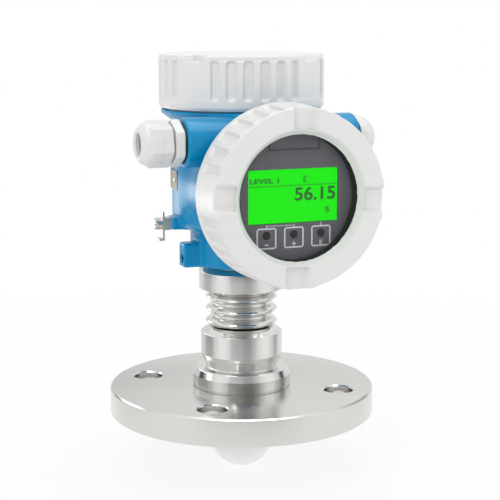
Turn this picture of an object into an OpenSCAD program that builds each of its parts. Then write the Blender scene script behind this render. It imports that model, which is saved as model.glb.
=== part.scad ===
// Radar level transmitter with a flange: dual-compartment cast housing with two screwed
// covers, a plug-in display, a finned neck and a dome antenna below the flange.
// Origin: centre of the flange's sealing face. +Z is up, the display looks towards -Y,
// the cable gland points to -X and the blind plug to +X. All sizes are in millimetres.

/* [Flange] */
// Outer diameter of the flange
flange_d = 165; // [160:1:185]
// Thickness of the flange
flange_t = 17; // [14:0.5:24]
// Chamfer on both rims of the flange
flange_edge = 1; // [0.5:0.1:2]
// Diameter of the circle that the bolt holes lie on
bolt_circle_d = 125; // [120:1:130]
// Diameter of one bolt hole
bolt_hole_d = 18; // [14:0.5:20]
// Number of bolt holes
bolt_holes = 4; // [4:4:8]
// Angle of the first bolt hole from the +X axis, in degrees
bolt_phase = 53; // [0:1:89]
// Bore of the flange, which holds the adapter's spigot
flange_bore_d = 48; // [46:0.5:54]

/* [Process adapter] */
// Diameter of the hub that stands on the flange
hub_d = 61.2; // [58:0.2:66]
// Height of the hub's straight side
hub_side_h = 7.1; // [4:0.1:12]
// Height of the hub's chamfer
hub_chamfer_h = 4.5; // [2:0.1:6]
// Diameter of the foot where the body leaves the hub
foot_d = 44; // [42:0.5:48]
// Height of the taper from the foot to the body
taper_h = 8.7; // [5:0.1:12]
// Diameter of the adapter's body
body_d = 50.8; // [49:0.2:54]
// Height of the body's straight side
body_h = 13.6; // [9:0.2:20]
// Height of the shoulder above the body
shoulder_h = 3.6; // [2:0.1:5]
// Diameter of the adapter's top face
adapter_top_d = 40.6; // [38:0.2:43]

/* [Antenna] */
// Diameter of the dome antenna
dome_d = 38.4; // [34:0.2:40]
// How far the dome's tip lies below the sealing face
dome_reach = 36.9; // [30:0.5:60]
// Depth of the antenna's root inside the adapter
root_depth = 12; // [10:0.5:13]
// Section of the antenna's seal ring
antenna_seal_w = 2.4; // [2:0.1:3]
// Outer diameter of the waveguide tube
waveguide_d = 9; // [7:0.5:10]
// Wall of the waveguide tube
waveguide_wall = 1; // [0.8:0.1:1.5]

/* [Finned neck] */
// Diameter over the cooling fins
fin_d = 44.6; // [42:0.2:47]
// Diameter between the fins
fin_root_d = 35; // [32:0.5:37]
// Number of fins
fins = 3; // [2:1:4]
// Distance from fin to fin
fin_pitch = 7.8; // [6.5:0.1:9]
// Height of one fin at its root
fin_root_h = 6.4; // [5:0.1:6.4]
// Height of one fin at its rounded edge
fin_tip_h = 1.6; // [1:0.1:2.5]
// Diameter of the collar under the housing
collar_d = 53; // [49:0.2:55]
// Height of the collar's straight side
collar_h = 10.7; // [7:0.1:14]
// Diameter of the journal that the housing turns on
journal_d = 38; // [36:0.5:39]
// Length of the spigot that joins the neck to the adapter
neck_spigot_l = 12; // [8:0.5:16]

/* [Housing] */
// How far the upright barrel lies inside the diameter of the covers' thread
barrel_inset = 1.8; // [0.5:0.1:2.4]
// Diameter of the housing's foot
foot_barrel_d = 63.4; // [60:0.2:66]
// Gap between the collar and the housing
foot_gap = 1.8; // [1:0.1:4]
// Height of the foot below the rounded shoulder
foot_h = 22.8; // [22.6:0.1:30]
// Radius of the rounded shoulder
shoulder_r = 8; // [5:0.1:10]
// Height of the display axis above the housing's foot
display_axis_h = 50.9; // [48.6:0.1:54]
// Distance of the cable entry axis below the barrel's rim
entry_below_rim = 15.9; // [15:0.1:17]
// Distance of the cable entry axis in front of the neck's axis
entry_forward = 43.3; // [42:0.1:45]
// Diameter of the cable entry boss
entry_d = 29; // [28:0.2:31]
// How far the entry boss stands out of the barrel on each side
entry_stand_off = 10.6; // [8.4:0.1:15]
// Diameter of the cable entry's thread
entry_thread_d = 20; // [16:0.5:20]
// Diameter of the way for wires inside the boss
wire_way_d = 22; // [20:0.5:23]
// Width of the rim under a cover, outside the cover's thread
rim_w = 4.4; // [4:0.1:5.5]
// Height of the rim under a cover
rim_h = 2.3; // [2:0.1:4]
// Height of the cone from the barrel to its rim
rim_cone_h = 4.8; // [4:0.1:7]
// Height of the barrel's rim above the cup
rim_above_cup = 3.1; // [2.5:0.1:6]
// Distance of the display rim in front of the neck's axis
rim_forward = 61.7; // [61:0.1:68]
// How far the cup behind the display lies inside the barrel's diameter
cup_inset = 1.2; // [0.5:0.1:2]
// Wall of the compartments at their threads
wall = 4.5; // [3.6:0.1:5]
// Thickness of the floor between the two compartments
floor_t = 3.5; // [3:0.1:4]
// Height of the floor's top face above the display axis
floor_above_axis = 14.4; // [14:0.1:15]
// Diameter of the bore that holds the electronics
electronics_bore_d = 48; // [46:0.5:50]

/* [Covers] */
// Diameter of the thread that a cover turns on
cover_thread_d = 89; // [88:0.2:90]
// Length of that thread
cover_thread_l = 15.5; // [12:0.1:18]
// Rise of the thread in one turn
cover_pitch = 2; // [1.5:0.1:3]
// Depth of a cover from its rim to its face
cover_h = 32.2; // [31:0.1:36]
// Distance from the thread to the blind cover's outside
blind_cover_w = 5.8; // [5.4:0.1:8]
// Distance from the thread to the display cover's outside at its notches
display_cover_w = 6.7; // [6:0.1:8.5]
// Distance from the thread to the outside of the display cover's open end
display_skirt_w = 7.6; // [6.8:0.1:10]
// Depth of the grooves between the ribs
groove_depth = 2; // [1.2:0.1:3]
// Number of ribs between two notches
ribs = 5; // [3:1:6]
// Angle from rib to rib, in degrees
rib_step = 11.4; // [9:0.1:12]
// Width of one rib
rib_w = 4.2; // [3:0.1:5]
// Height of the plain band at the open end
band_h = 6.6; // [5:0.1:9]
// Distance from the face to the top of the ribs
rib_drop = 3.2; // [2:0.1:5]
// Half the angle of a smooth sector, in degrees
smooth_half = 14; // [12:0.5:16]
// Width of a notch for a bar, at the cover's face
notch_w = 15.4; // [10:0.2:16]
// Depth of a notch
notch_depth = 3.6; // [2:0.1:4]
// Distance from the thread inwards to the inner end of a notch
notch_inset = 5.9; // [2.5:0.1:6.5]
// Thickness of a cover's face
cover_face_t = 5; // [4.8:0.1:7]
// Turn of the blind cover's notches about its axis, in degrees
blind_cover_phase = 34.5; // [0:0.5:89]
// Turn of the display cover's notches about its axis, in degrees
display_cover_phase = -3; // [-44:0.5:45]
// Gap between a cover and the rim, filled by its seal
cover_gap = 0.8; // [0.5:0.1:1.5]

/* [Window] */
// Distance from the thread inwards to the window's opening
window_inset = 8.75; // [8.5:0.05:10.5]
// Depth of the sloped ring round the window
window_bevel_h = 4.6; // [3.5:0.1:5]
// Width of the sloped ring at the cover's face
window_bevel_w = 3.25; // [2.25:0.05:4.25]
// Thickness of the window glass
glass_t = 5; // [3:0.1:5]
// Width of the edge that holds the glass
glass_seat = 2.8; // [2:0.1:3]

/* [Display module] */
// How far the display's front shell reaches past the window's edge
bezel_edge = 0.75; // [0.35:0.05:1.25]
// Distance of the shell's front face behind the window glass
bezel_setback = 2; // [1.2:0.1:3]
// Depth of the front shell
bezel_h = 10; // [8:0.1:11]
// Wall of the front shell
bezel_wall = 2; // [1.5:0.1:2.5]
// Width of the screen's opening as a share of the shell's diameter
screen_w_share = 0.7534; // [0.66:0.01:0.77]
// Height of the screen's opening as a share of the shell's diameter
screen_h_share = 0.4192; // [0.36:0.01:0.43]
// Side of one square key field as a share of the shell's diameter
key_w_share = 0.1644; // [0.14:0.005:0.17]
// Distance from key to key as a share of the shell's diameter
key_pitch_share = 0.2288; // [0.2:0.005:0.24]
// Distance of the keys below the display axis as a share of the shell's diameter
key_drop_share = 0.315; // [0.305:0.005:0.33]
// Diameter of one optical key's lens
key_lens_d = 4.4; // [3:0.1:5]

/* [Cable gland and blind plug] */
// Size of the hexagons across their flats
hex_af = 24; // [22:0.5:25]
// Length of the gland body's hexagon
gland_hex_l = 5.5; // [4:0.1:8]
// Length of the gland nut's hexagon
nut_hex_l = 9.4; // [8:0.1:14]
// Length of the gland nut's dome
nut_dome_l = 9.3; // [8.6:0.1:12]
// Turn of the gland nut's flats about its axis, in degrees
nut_turn = 12; // [0:1:59]
// Diameter of the gland nut's opening
nut_opening_d = 13; // [11:0.2:14]
// Diameter of the hole for the cable
cable_d = 5; // [4.6:0.2:9]
// Thickness of a gland's gasket
gasket_t = 1.4; // [1:0.1:2]
// Gap between the gland's body and its nut
nut_gap = 1.2; // [0.8:0.1:3]
// Rise of the gland's thread in one turn
gland_pitch = 1.5; // [1:0.1:2]
// Thickness of the blind plug's head
plug_head_l = 11.9; // [9:0.1:12.4]

/* [Ground terminal and locking screws] */
// How far the ground block stands out of the barrel
ground_stand_off = 3.9; // [3.3:0.1:6.3]
// Width of the ground block
ground_block_w = 12; // [10:0.5:14]
// Height of the ground block
ground_block_h = 7.5; // [7:0.1:9]
// Diameter of the ground screw's head
ground_head_d = 7.4; // [6:0.1:9]
// Diameter of the ground screw's shank
ground_shank_d = 4; // [3:0.1:5]
// Thickness of the ground clamp's sheet
clamp_t = 1.2; // [0.8:0.1:1.6]
// Width of the locking lug on the housing's foot
lug_w = 10.3; // [9:0.1:12]
// Height of the locking lug
lug_h = 14.9; // [11:0.1:16]
// How far the locking lug stands out of the housing's foot
lug_stand_off = 9; // [6.3:0.1:11]
// Diameter of the locking screw
lock_screw_d = 5; // [4:0.1:6]

/* [Nameplate] */
// Height of the bare nameplate
plate_h = 11.6; // [9:0.2:15]
// Thickness of the nameplate
plate_t = 0.8; // [0.5:0.1:1.2]
// Angle that the nameplate covers, in degrees
plate_angle = 74; // [50:1:80]

/* [Clearances] */
// Radial clearance of a turning fit
running_fit = 0.05; // [0.02:0.01:0.08]
// Radial clearance of a thread that is drawn plain
thread_fit = 0.3; // [0.3:0.05:0.5]
// Clearance round a seated piece
seat_fit = 0.1; // [0.05:0.05:0.2]
// Clearance between pieces that move past each other
free_gap = 0.4; // [0.3:0.05:0.6]

/* [Hidden] */
$fn = 64;
eps = 0.01;

// Colours
steel = [0.78, 0.78, 0.77];
cast_blue = [0.06, 0.52, 0.73];
light_grey = [0.88, 0.88, 0.87];
soft_black = [0.09, 0.09, 0.10];
dark_grey = [0.33, 0.33, 0.35];
white_polymer = [0.94, 0.94, 0.93];

// Heights of the process side, from the sealing face upwards
hub_top_z = flange_t + hub_side_h + hub_chamfer_h;
body_bottom_z = hub_top_z + taper_h;
body_top_z = body_bottom_z + body_h;
adapter_top_z = body_top_z + shoulder_h;
hub_top_d = hub_d - 4;
first_fin_z = adapter_top_z + 3.3;
last_fin_z = first_fin_z + (fins - 1) * fin_pitch;
collar_bottom_z = last_fin_z + fin_pitch / 2 + 1;
collar_side_z = collar_bottom_z + 0.8;
collar_top_z = collar_side_z + collar_h;
collar_cone_h = 3.1;
journal_z = collar_top_z + collar_cone_h;

// Inner bores of the process side
neck_bore_d = waveguide_d + 1;
neck_spigot_d = 28;
root_d = dome_d;
root_bore_d = root_d + 2 * seat_fit;
spigot_d = flange_bore_d - 2 * seat_fit;
dome_centre_z = dome_d / 2 - dome_reach;
feed_window_d = 20;
feed_window_t = 5;
feed_window_z = root_depth + seat_fit;

// Heights and widths of the housing
barrel_d = cover_thread_d - 2 * barrel_inset;
entry_span = barrel_d + 2 * entry_stand_off;
ground_reach = barrel_d / 2 + ground_stand_off;
lug_reach = foot_barrel_d / 2 + lug_stand_off;
foot_z = journal_z + foot_gap;
shoulder_z = foot_z + foot_h + shoulder_r;
axis_z = foot_z + display_axis_h;
cup_d = barrel_d - 2 * cup_inset;
rim_z = axis_z + cup_d / 2 + rim_above_cup;
entry_z = rim_z - entry_below_rim;
floor_z = axis_z + floor_above_axis;
ceiling_z = floor_z - floor_t;
rim_d = cover_thread_d + 2 * rim_w;
barrel_bore_d = cover_thread_d - 2 * wall;
lower_bore_d = barrel_bore_d - 5;
socket_h = 9.3;
socket_top_z = foot_z + socket_h;
journal_top_z = socket_top_z + 3.4;
neck_groove_z = foot_z + 1.2;
neck_groove_h = 3;
ring_groove_z = socket_top_z + free_gap;
ring_t = 1.6;
ring_d = journal_d + 7;
electronics_z = ceiling_z - electronics_bore_d / 2;
cup_floor_y = -(entry_forward + entry_d / 2 + 0.5);
spigot_bore_d = cover_thread_d - 8;

// Covers and window
blind_cover_d = cover_thread_d + 2 * blind_cover_w;
display_cover_d = cover_thread_d + 2 * display_cover_w;
display_skirt_d = cover_thread_d + 2 * display_skirt_w;
notch_inner_r = cover_thread_d / 2 - notch_inset;
window_d = cover_thread_d - 2 * window_inset;
window_bevel_d = window_d + 2 * window_bevel_w;
cover_bore_d = cover_thread_d + 2 * thread_fit;
cover_thread_depth = cover_thread_l + 1.4;
cover_inner_d = cover_thread_d - 7;
seal_d = cover_bore_d + 3.6;
seal_h = cover_gap + 1.4;
display_face_y = -(rim_forward + cover_gap + cover_h);
glass_front_y = display_face_y + window_bevel_h + 0.4;
glass_back_y = glass_front_y + glass_t;
glass_d = window_d + 2 * glass_seat;
retainer_t = bezel_setback - 0.6;
bezel_face_y = glass_back_y + bezel_setback;
bezel_back_y = bezel_face_y + bezel_h;
bezel_d = window_d + 2 * bezel_edge;
screen_w = screen_w_share * bezel_d;
screen_h = screen_h_share * bezel_d;
key_w = key_w_share * bezel_d;
key_pitch = key_pitch_share * bezel_d;
key_drop = key_drop_share * bezel_d;
holder_grip = 3.4;
board_back = 1.2;
screen_t = 3;
key_lens_h = 3.2;

// Gland
hex_d = hex_af / cos(30);
boss_face_x = entry_span / 2;
gland_x = boss_face_x + gasket_t;
nut_x = gland_x + gland_hex_l + nut_gap;
nut_l = nut_hex_l + nut_dome_l;
nut_inner_l = nut_l - 4.2;
gland_washer_t = 1.6;
gland_stem_d = 18;
gland_stem_l = 11;
gland_seal_d = 14.4;
gland_seal_l = nut_gap + nut_inner_l - gland_washer_t;
thread_engaged = 10;
plug_dome_r = 13.2;

// Rounds a corner of an outline: points on an arc from angle a0 to a1
function arc(cx, cy, r, a0, a1, n = 8) =
    [for (i = [0:n]) let (a = a0 + (a1 - a0) * i / n) [cx + r * cos(a), cy + r * sin(a)]];

// A turned ring of rectangular section
module ring(od, id, h) {
    difference() {
        cylinder(d = od, h = h);
        translate([0, 0, -1]) cylinder(d = id, h = h + 2);
    }
}

// A round seal of the given mean radius and section
module o_ring(mean_r, section) {
    rotate_extrude() translate([mean_r, 0]) circle(d = section, $fn = 24);
}

// Turns a shape modelled along +Z so that it points out of the display side
module to_front() {
    rotate([90, 0, 0]) children();
}

// Carries a shape modelled along +Z to the display axis, starting at a distance forward
module on_display_axis(forward) {
    translate([0, -forward, axis_z]) to_front() children();
}

// Carries a shape modelled along +Z to the gland side of the cable entry
module on_gland_axis(x) {
    translate([-x, -entry_forward, entry_z]) rotate([0, -90, 0]) children();
}

// Carries a shape modelled along +Z to the plug side of the cable entry
module on_plug_axis(x) {
    translate([x, -entry_forward, entry_z]) rotate([0, 90, 0]) children();
}

// A hexagon with two corners up and down and both of its ends eased
module eased_hex(length, ease = 0.8) {
    intersection() {
        cylinder(d = hex_d, h = length, $fn = 6);
        rotate_extrude() polygon([[0, 0], [hex_d / 2 - ease, 0], [hex_d / 2, ease],
            [hex_d / 2, length - ease], [hex_d / 2 - ease, length], [0, length]]);
    }
}

module bolt_hole_centres() {
    for (i = [0:bolt_holes - 1])
        rotate([0, 0, bolt_phase + i * 360 / bolt_holes])
            translate([bolt_circle_d / 2, 0, 0]) children();
}

// ---- Process side ----

module flange() {
    ease = 0.8;
    color(steel) difference() {
        rotate_extrude($fn = 128) polygon([[flange_bore_d / 2, 0], [flange_d / 2 - flange_edge, 0],
            [flange_d / 2, flange_edge], [flange_d / 2, flange_t - flange_edge],
            [flange_d / 2 - flange_edge, flange_t], [flange_bore_d / 2, flange_t]]);
        bolt_hole_centres() {
            translate([0, 0, -1]) cylinder(d = bolt_hole_d, h = flange_t + 2);
            translate([0, 0, flange_t - ease])
                cylinder(d1 = bolt_hole_d, d2 = bolt_hole_d + 2 * ease + 0.2, h = ease + 0.1);
        }
    }
}

module process_adapter() {
    spigot_edge = 0.5;
    color(steel) difference() {
        rotate_extrude($fn = 96) polygon([[0, 0], [spigot_d / 2 - spigot_edge, 0],
            [spigot_d / 2, spigot_edge], [spigot_d / 2, flange_t], [hub_d / 2, flange_t],
            [hub_d / 2, flange_t + hub_side_h], [hub_top_d / 2, hub_top_z], [foot_d / 2, hub_top_z],
            [body_d / 2, body_bottom_z], [body_d / 2, body_top_z],
            [adapter_top_d / 2, adapter_top_z], [0, adapter_top_z]]);
        translate([0, 0, -1]) cylinder(d = root_bore_d, h = root_depth + seat_fit + 1);
        translate([0, 0, root_depth])
            cylinder(d = feed_window_d + 2 * seat_fit, h = feed_window_t + 2 * seat_fit);
        cylinder(d = neck_bore_d, h = adapter_top_z + 1);
        translate([0, 0, adapter_top_z - neck_spigot_l - seat_fit])
            cylinder(d = neck_spigot_d + 2 * seat_fit, h = neck_spigot_l + 1);
    }
}

module antenna_dome() {
    groove_z = root_depth / 2;
    color(white_polymer) difference() {
        rotate_extrude($fn = 96) polygon(concat(
            arc(0, dome_centre_z, dome_d / 2, -90, 0, 18),
            [[root_d / 2, root_depth], [0, root_depth]]));
        translate([0, 0, groove_z - antenna_seal_w / 2])
            ring(root_d + 2, root_d - 2 * antenna_seal_w + 0.1, antenna_seal_w);
    }
}

module antenna_seal() {
    color(soft_black) translate([0, 0, root_depth / 2])
        o_ring((root_d - antenna_seal_w) / 2, antenna_seal_w - 0.2);
}

module feed_window() {
    color(white_polymer) translate([0, 0, feed_window_z]) cylinder(d = feed_window_d, h = feed_window_t);
}

module waveguide() {
    top_z = electronics_z - electronics_bore_d / 2 + 1.4;
    translate([0, 0, feed_window_z + feed_window_t + seat_fit]) color([0.80, 0.66, 0.33])
        ring(waveguide_d, waveguide_d - 2 * waveguide_wall,
            top_z - feed_window_z - feed_window_t - seat_fit);
}

// Outline of one fin that starts at the height low: a lens with a small rounded edge
function fin_outline(z, low) = [[fin_root_d / 2, low],
    [fin_d / 2 - 2.1, z - fin_root_h / 2 + 1.1], [fin_d / 2 - 0.5, z - fin_tip_h / 2],
    [fin_d / 2, z], [fin_d / 2 - 0.5, z + fin_tip_h / 2],
    [fin_d / 2 - 2.1, z + fin_root_h / 2 - 1.1], [fin_root_d / 2, z + fin_root_h / 2]];

module finned_neck() {
    color(steel) difference() {
        rotate_extrude($fn = 96) polygon(concat(
            [[0, adapter_top_z - neck_spigot_l], [neck_spigot_d / 2, adapter_top_z - neck_spigot_l],
             [neck_spigot_d / 2, adapter_top_z]],
            [for (i = [0:fins - 1]) let (z = first_fin_z + i * fin_pitch)
                each fin_outline(z, i == 0 ? adapter_top_z : z - fin_root_h / 2)],
            [[fin_root_d / 2, collar_bottom_z], [collar_d / 2 - 0.8, collar_bottom_z],
             [collar_d / 2, collar_side_z], [collar_d / 2, collar_top_z],
             [collar_d / 2 - 2.7, journal_z], [journal_d / 2, journal_z],
             [journal_d / 2, journal_top_z], [0, journal_top_z]]));
        translate([0, 0, adapter_top_z - neck_spigot_l - 1])
            cylinder(d = neck_bore_d, h = journal_top_z);
        translate([0, 0, ring_groove_z]) ring(journal_d + 2, journal_d - 3, ring_t);
        translate([0, 0, neck_groove_z]) ring(journal_d + 2, journal_d - 5, neck_groove_h);
    }
}

module neck_seal() {
    color(soft_black) translate([0, 0, neck_groove_z + neck_groove_h / 2])
        o_ring(journal_d / 2 - 1.35, 2.2);
}

module neck_retaining_ring() {
    color([0.35, 0.36, 0.38]) translate([0, 0, ring_groove_z + 0.1]) difference() {
        ring(ring_d, journal_d - 2.6, ring_t - 0.2);
        translate([journal_d / 2 - 4, -3, -1]) cube([10, 6, ring_t + 2]);
    }
}

// ---- Housing ----

// Solid outline of the housing before it is bored out
module housing_body() {
    edge = 1;
    rotate_extrude($fn = 128) polygon(concat(
        [[0, foot_z], [foot_barrel_d / 2 - edge, foot_z], [foot_barrel_d / 2, foot_z + edge],
         [foot_barrel_d / 2, foot_z + foot_h - edge]],
        arc(barrel_d / 2 - shoulder_r, shoulder_z, shoulder_r, -83, 0, 9),
        [[barrel_d / 2, rim_z - rim_h - rim_cone_h], [rim_d / 2, rim_z - rim_h], [rim_d / 2, rim_z],
         [cover_thread_d / 2, rim_z], [cover_thread_d / 2, rim_z + cover_thread_l - edge],
         [cover_thread_d / 2 - edge, rim_z + cover_thread_l], [0, rim_z + cover_thread_l]]));
    on_display_axis(0) rotate_extrude($fn = 128) polygon([[0, 0], [cup_d / 2, 0],
        [cup_d / 2, rim_forward - rim_h - 2], [rim_d / 2 - 1, rim_forward - rim_h],
        [rim_d / 2 - 1, rim_forward], [cover_thread_d / 2, rim_forward],
        [cover_thread_d / 2, rim_forward + cover_thread_l - edge],
        [cover_thread_d / 2 - edge, rim_forward + cover_thread_l],
        [0, rim_forward + cover_thread_l]]);
    on_gland_axis(-boss_face_x) rotate_extrude($fn = 96) polygon([[0, 0],
        [entry_d / 2 - edge, 0], [entry_d / 2, edge], [entry_d / 2, entry_span - edge],
        [entry_d / 2 - edge, entry_span], [0, entry_span]]);
    locking_lug();
    ground_block();
    lock_boss();
}

// Lug at the foot that carries the screw which locks the housing's turn
module locking_lug() {
    translate([-lug_reach, -lug_w + lug_off, foot_z])
        cube([lug_reach - journal_d / 2 - socket_wall, lug_w, lug_h]);
}

// Block on the gland side that carries the ground terminal
module ground_block() {
    translate([-ground_reach, -ground_block_w / 2, ground_z - ground_block_h / 2 - 0.8])
        cube([ground_reach - barrel_d / 3, ground_block_w, ground_block_h]);
}

// Small boss under the display rim that carries the cover's lock
module lock_boss() {
    translate([lock_x - 4, -rim_forward + 1.4, lock_boss_z]) cube([8, 9, 16]);
}

lug_off = 0.4;
socket_wall = 3;
lock_screw_y = lug_off - lug_w / 2;
lock_screw_z = foot_z + 5.3;
ground_z = foot_z + 27.6;
lock_x = 9;
lock_boss_z = axis_z - rim_d / 2 - 5.2;
lock_y = -(rim_forward - 6.4);

module housing() {
    bore_edge = 0.6;
    color(cast_blue) difference() {
        housing_body();
        // connection compartment
        translate([0, 0, floor_z])
            cylinder(d = barrel_bore_d, h = rim_z - floor_z + cover_thread_l + 1, $fn = 96);
        // wire way and the two entries
        on_gland_axis(-boss_face_x + wire_wall)
            cylinder(d = wire_way_d, h = entry_span - 2 * wire_wall);
        on_gland_axis(-boss_face_x - 1) cylinder(d = entry_thread_d, h = entry_span + 2);
        // display compartment
        on_display_axis(-cup_floor_y) cylinder(d = spigot_bore_d, h = rim_forward, $fn = 96);
        // electronics compartment
        translate([0, 18, electronics_z]) to_front()
            cylinder(d = electronics_bore_d, h = 18 + rim_forward);
        translate([0, 0, electronics_z - 10])
            cylinder(d = lower_bore_d, h = ceiling_z - electronics_z + 10);
        translate([0, 0, socket_top_z]) cylinder(d = foot_barrel_d - 10, h = 22);
        translate([0, 0, ceiling_z - 1]) cylinder(d = feedthrough_d + 2 * seat_fit, h = floor_t + 2);
        // socket that turns on the neck
        translate([0, 0, foot_z - 1])
            cylinder(d = journal_d + 2 * running_fit, h = socket_h + 2, $fn = 96);
        translate([0, 0, foot_z - 0.1])
            cylinder(d1 = journal_d + 2 * bore_edge + 0.3, d2 = journal_d, h = bore_edge + 0.1);
        // screw holes
        translate([-lug_reach - 1, lock_screw_y, lock_screw_z]) rotate([0, 90, 0])
            cylinder(d = lock_screw_d + 2 * seat_fit, h = lug_reach - 10);
        translate([-ground_reach - 1, 0, ground_z - 0.8]) rotate([0, 90, 0])
            cylinder(d = ground_shank_d + 2 * seat_fit, h = 9.2);
        translate([lock_x, lock_y, lock_boss_z - 1]) cylinder(d = 3 + 2 * seat_fit, h = 9);
    }
}

wire_wall = 15;
feedthrough_d = 22;
feedthrough_neck_d = 16;
feedthrough_rise = 1.4;
feedthrough_neck_h = 2;
electronics_back_y = 12;
plug_box = 12;

module compartment_feedthrough() {
    color(soft_black) translate([0, 0, ceiling_z + seat_fit])
        cylinder(d = feedthrough_d, h = floor_t + feedthrough_rise);
    color(soft_black) translate([0, 0, floor_z + feedthrough_rise])
        cylinder(d = feedthrough_neck_d, h = feedthrough_neck_h);
}

module electronics_module() {
    length = electronics_back_y - cup_floor_y - 3;
    radius = electronics_bore_d / 2 - 1.6;
    color([0.10, 0.30, 0.20]) difference() {
        translate([0, electronics_back_y, electronics_z]) to_front() union() {
            cylinder(r = radius, h = length);
            translate([-plug_box / 2, radius - 4, length - plug_box])
                cube([plug_box, 4.4, plug_box]);
        }
        translate([0, 0, electronics_z - radius - 1]) cylinder(d = waveguide_d + 0.6, h = 4);
    }
}

// Terminal block on the floor of the connection compartment
terminals = 6;
terminal_pitch = 7.2;
terminal_screw_d = 4;
terminal_screw_l = 5.2;
terminal_slot_w = 0.8;
block_w = 52;
block_d = 24;
block_h = 8;
block_back_h = 14;
block_back_d = 15;
block_back_inset = 4;
block_leg_d = 5;
block_leg_h = 3.6;
block_edge = 3;
pocket_z = 2;
wire_slot_w = 3.6;
wire_slot_d = 5;
first_terminal_x = 8;
block_z = floor_z + block_leg_h;

// Carries a shape to each terminal of the block
module at_terminals() {
    for (i = [0:terminals - 1])
        translate([first_terminal_x - block_w / 2 + i * terminal_pitch, wire_slot_d - block_d / 2,
            block_z + pocket_z])
            children();
}

module terminal_block() {
    color([0.16, 0.17, 0.18]) difference() {
        union() {
            translate([-block_w / 2, -block_d / 2, block_z]) cube([block_w, block_d, block_h]);
            translate([block_back_inset - block_w / 2, -block_edge, block_z])
                cube([block_w - 2 * block_back_inset, block_back_d, block_back_h]);
            for (side = [-1, 1]) translate([side * (block_w / 2 - block_edge), 0, floor_z])
                cylinder(d = block_leg_d, h = block_leg_h + 4 * seat_fit);
        }
        at_terminals() cylinder(d = terminal_screw_d + 4 * seat_fit, h = block_h);
        at_terminals() translate([-wire_slot_w / 2, -wire_slot_d - 1, 0])
            cube([wire_slot_w, wire_slot_d, wire_slot_w]);
    }
}

module terminal_screws() {
    color(steel) at_terminals() translate([0, 0, seat_fit]) difference() {
        cylinder(d = terminal_screw_d, h = terminal_screw_l, $fn = 32);
        translate([-terminal_screw_d, -terminal_slot_w / 2, terminal_screw_l - terminal_slot_w])
            cube([2 * terminal_screw_d, terminal_slot_w, terminal_slot_w + 1]);
    }
}

// ---- Covers ----

// Outer form of a cover along +Z from its open end: a band, grooves with ribs, and four
// smooth sectors. It is narrower at its face, and its open end may flare to the skirt.
module cover_form(face_d, skirt_d) {
    edge = 1.6;
    face_r = face_d / 2;
    skirt_r = skirt_d / 2;
    rib_top = cover_h - rib_drop;
    groove_z = band_h + 1.2;
    function side_r(z) = skirt_r + (face_r - skirt_r) * z / cover_h;
    function floor_r(z) = side_r(z) - groove_depth;
    rotate_extrude($fn = 128) polygon([[0, 0], [skirt_r - 1.2, 0], [side_r(1.8), 1.8],
        [side_r(band_h - 0.4), band_h - 0.4], [floor_r(groove_z), groove_z],
        [floor_r(cover_h - edge), cover_h - edge],
        [floor_r(cover_h) - edge * 0.3, cover_h - edge * 0.3], [floor_r(cover_h) - edge, cover_h],
        [0, cover_h]]);
    intersection() {
        rotate_extrude($fn = 128) polygon([[floor_r(2) - 2, 2], [side_r(2), 2],
            [side_r(rib_top - 2.6), rib_top - 2.6], [floor_r(rib_top) - 0.6, rib_top + 1],
            [floor_r(rib_top) - 2, rib_top + 1]]);
        for (q = [0:3], i = [0:ribs - 1])
            rotate([0, 0, 45 + q * 90 + (i - (ribs - 1) / 2) * rib_step])
                translate([0, -rib_w / 2, 0]) cube([skirt_r + 5, rib_w, cover_h]);
    }
    for (q = [0:3]) rotate([0, 0, q * 90 - smooth_half])
        rotate_extrude(angle = 2 * smooth_half, $fn = 128) polygon([
            [floor_r(cover_h) - 6, 1], [side_r(2) - 0.8, 1], [side_r(2), 2],
            [side_r(cover_h - edge), cover_h - edge], [face_r - edge * 0.3, cover_h - edge * 0.3],
            [face_r - edge, cover_h], [floor_r(cover_h) - 6, cover_h]]);
}

// The four notches for a bar, at the face of a cover: their side walls lean outwards
module cover_notches() {
    reach = 30;
    draft = 0.6;
    above = 2;
    floor_half = notch_w / 2 - draft * notch_depth;
    top_half = notch_w / 2 + draft * above;
    for (q = [0:3]) rotate([0, 0, q * 90])
        translate([notch_inner_r, 0, cover_h - notch_depth]) rotate([90, 0, 90])
            linear_extrude(reach) polygon([[-floor_half, 0], [floor_half, 0],
                [top_half, notch_depth + above], [-top_half, notch_depth + above]]);
}

// What both covers have inside: the thread's bore and the room above it
module cover_bores(seal_room, inner_depth) {
    translate([0, 0, -1]) cylinder(d = cover_bore_d, h = cover_thread_depth - cover_gap + 1, $fn = 96);
    translate([0, 0, -1]) cylinder(d = seal_d + 2 * seat_fit, h = seal_room + 1, $fn = 96);
    cylinder(d = cover_inner_d, h = inner_depth, $fn = 96);
}

// Seal between a cover and the housing's rim
module cover_seal() {
    ring(seal_d, cover_thread_d + 2 * free_gap, seal_h, $fn = 96);
}

module connection_cover_seal() {
    color(soft_black) translate([0, 0, rim_z]) cover_seal();
}

module connection_cover() {
    color(light_grey) translate([0, 0, rim_z + cover_gap]) rotate([0, 0, blind_cover_phase])
        difference() {
            cover_form(blind_cover_d, blind_cover_d);
            cover_notches();
            cover_bores(seal_h - cover_gap + seat_fit, cover_h - cover_face_t);
        }
}

module display_cover_seal() {
    color(soft_black) on_display_axis(rim_forward) cover_seal();
}

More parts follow.
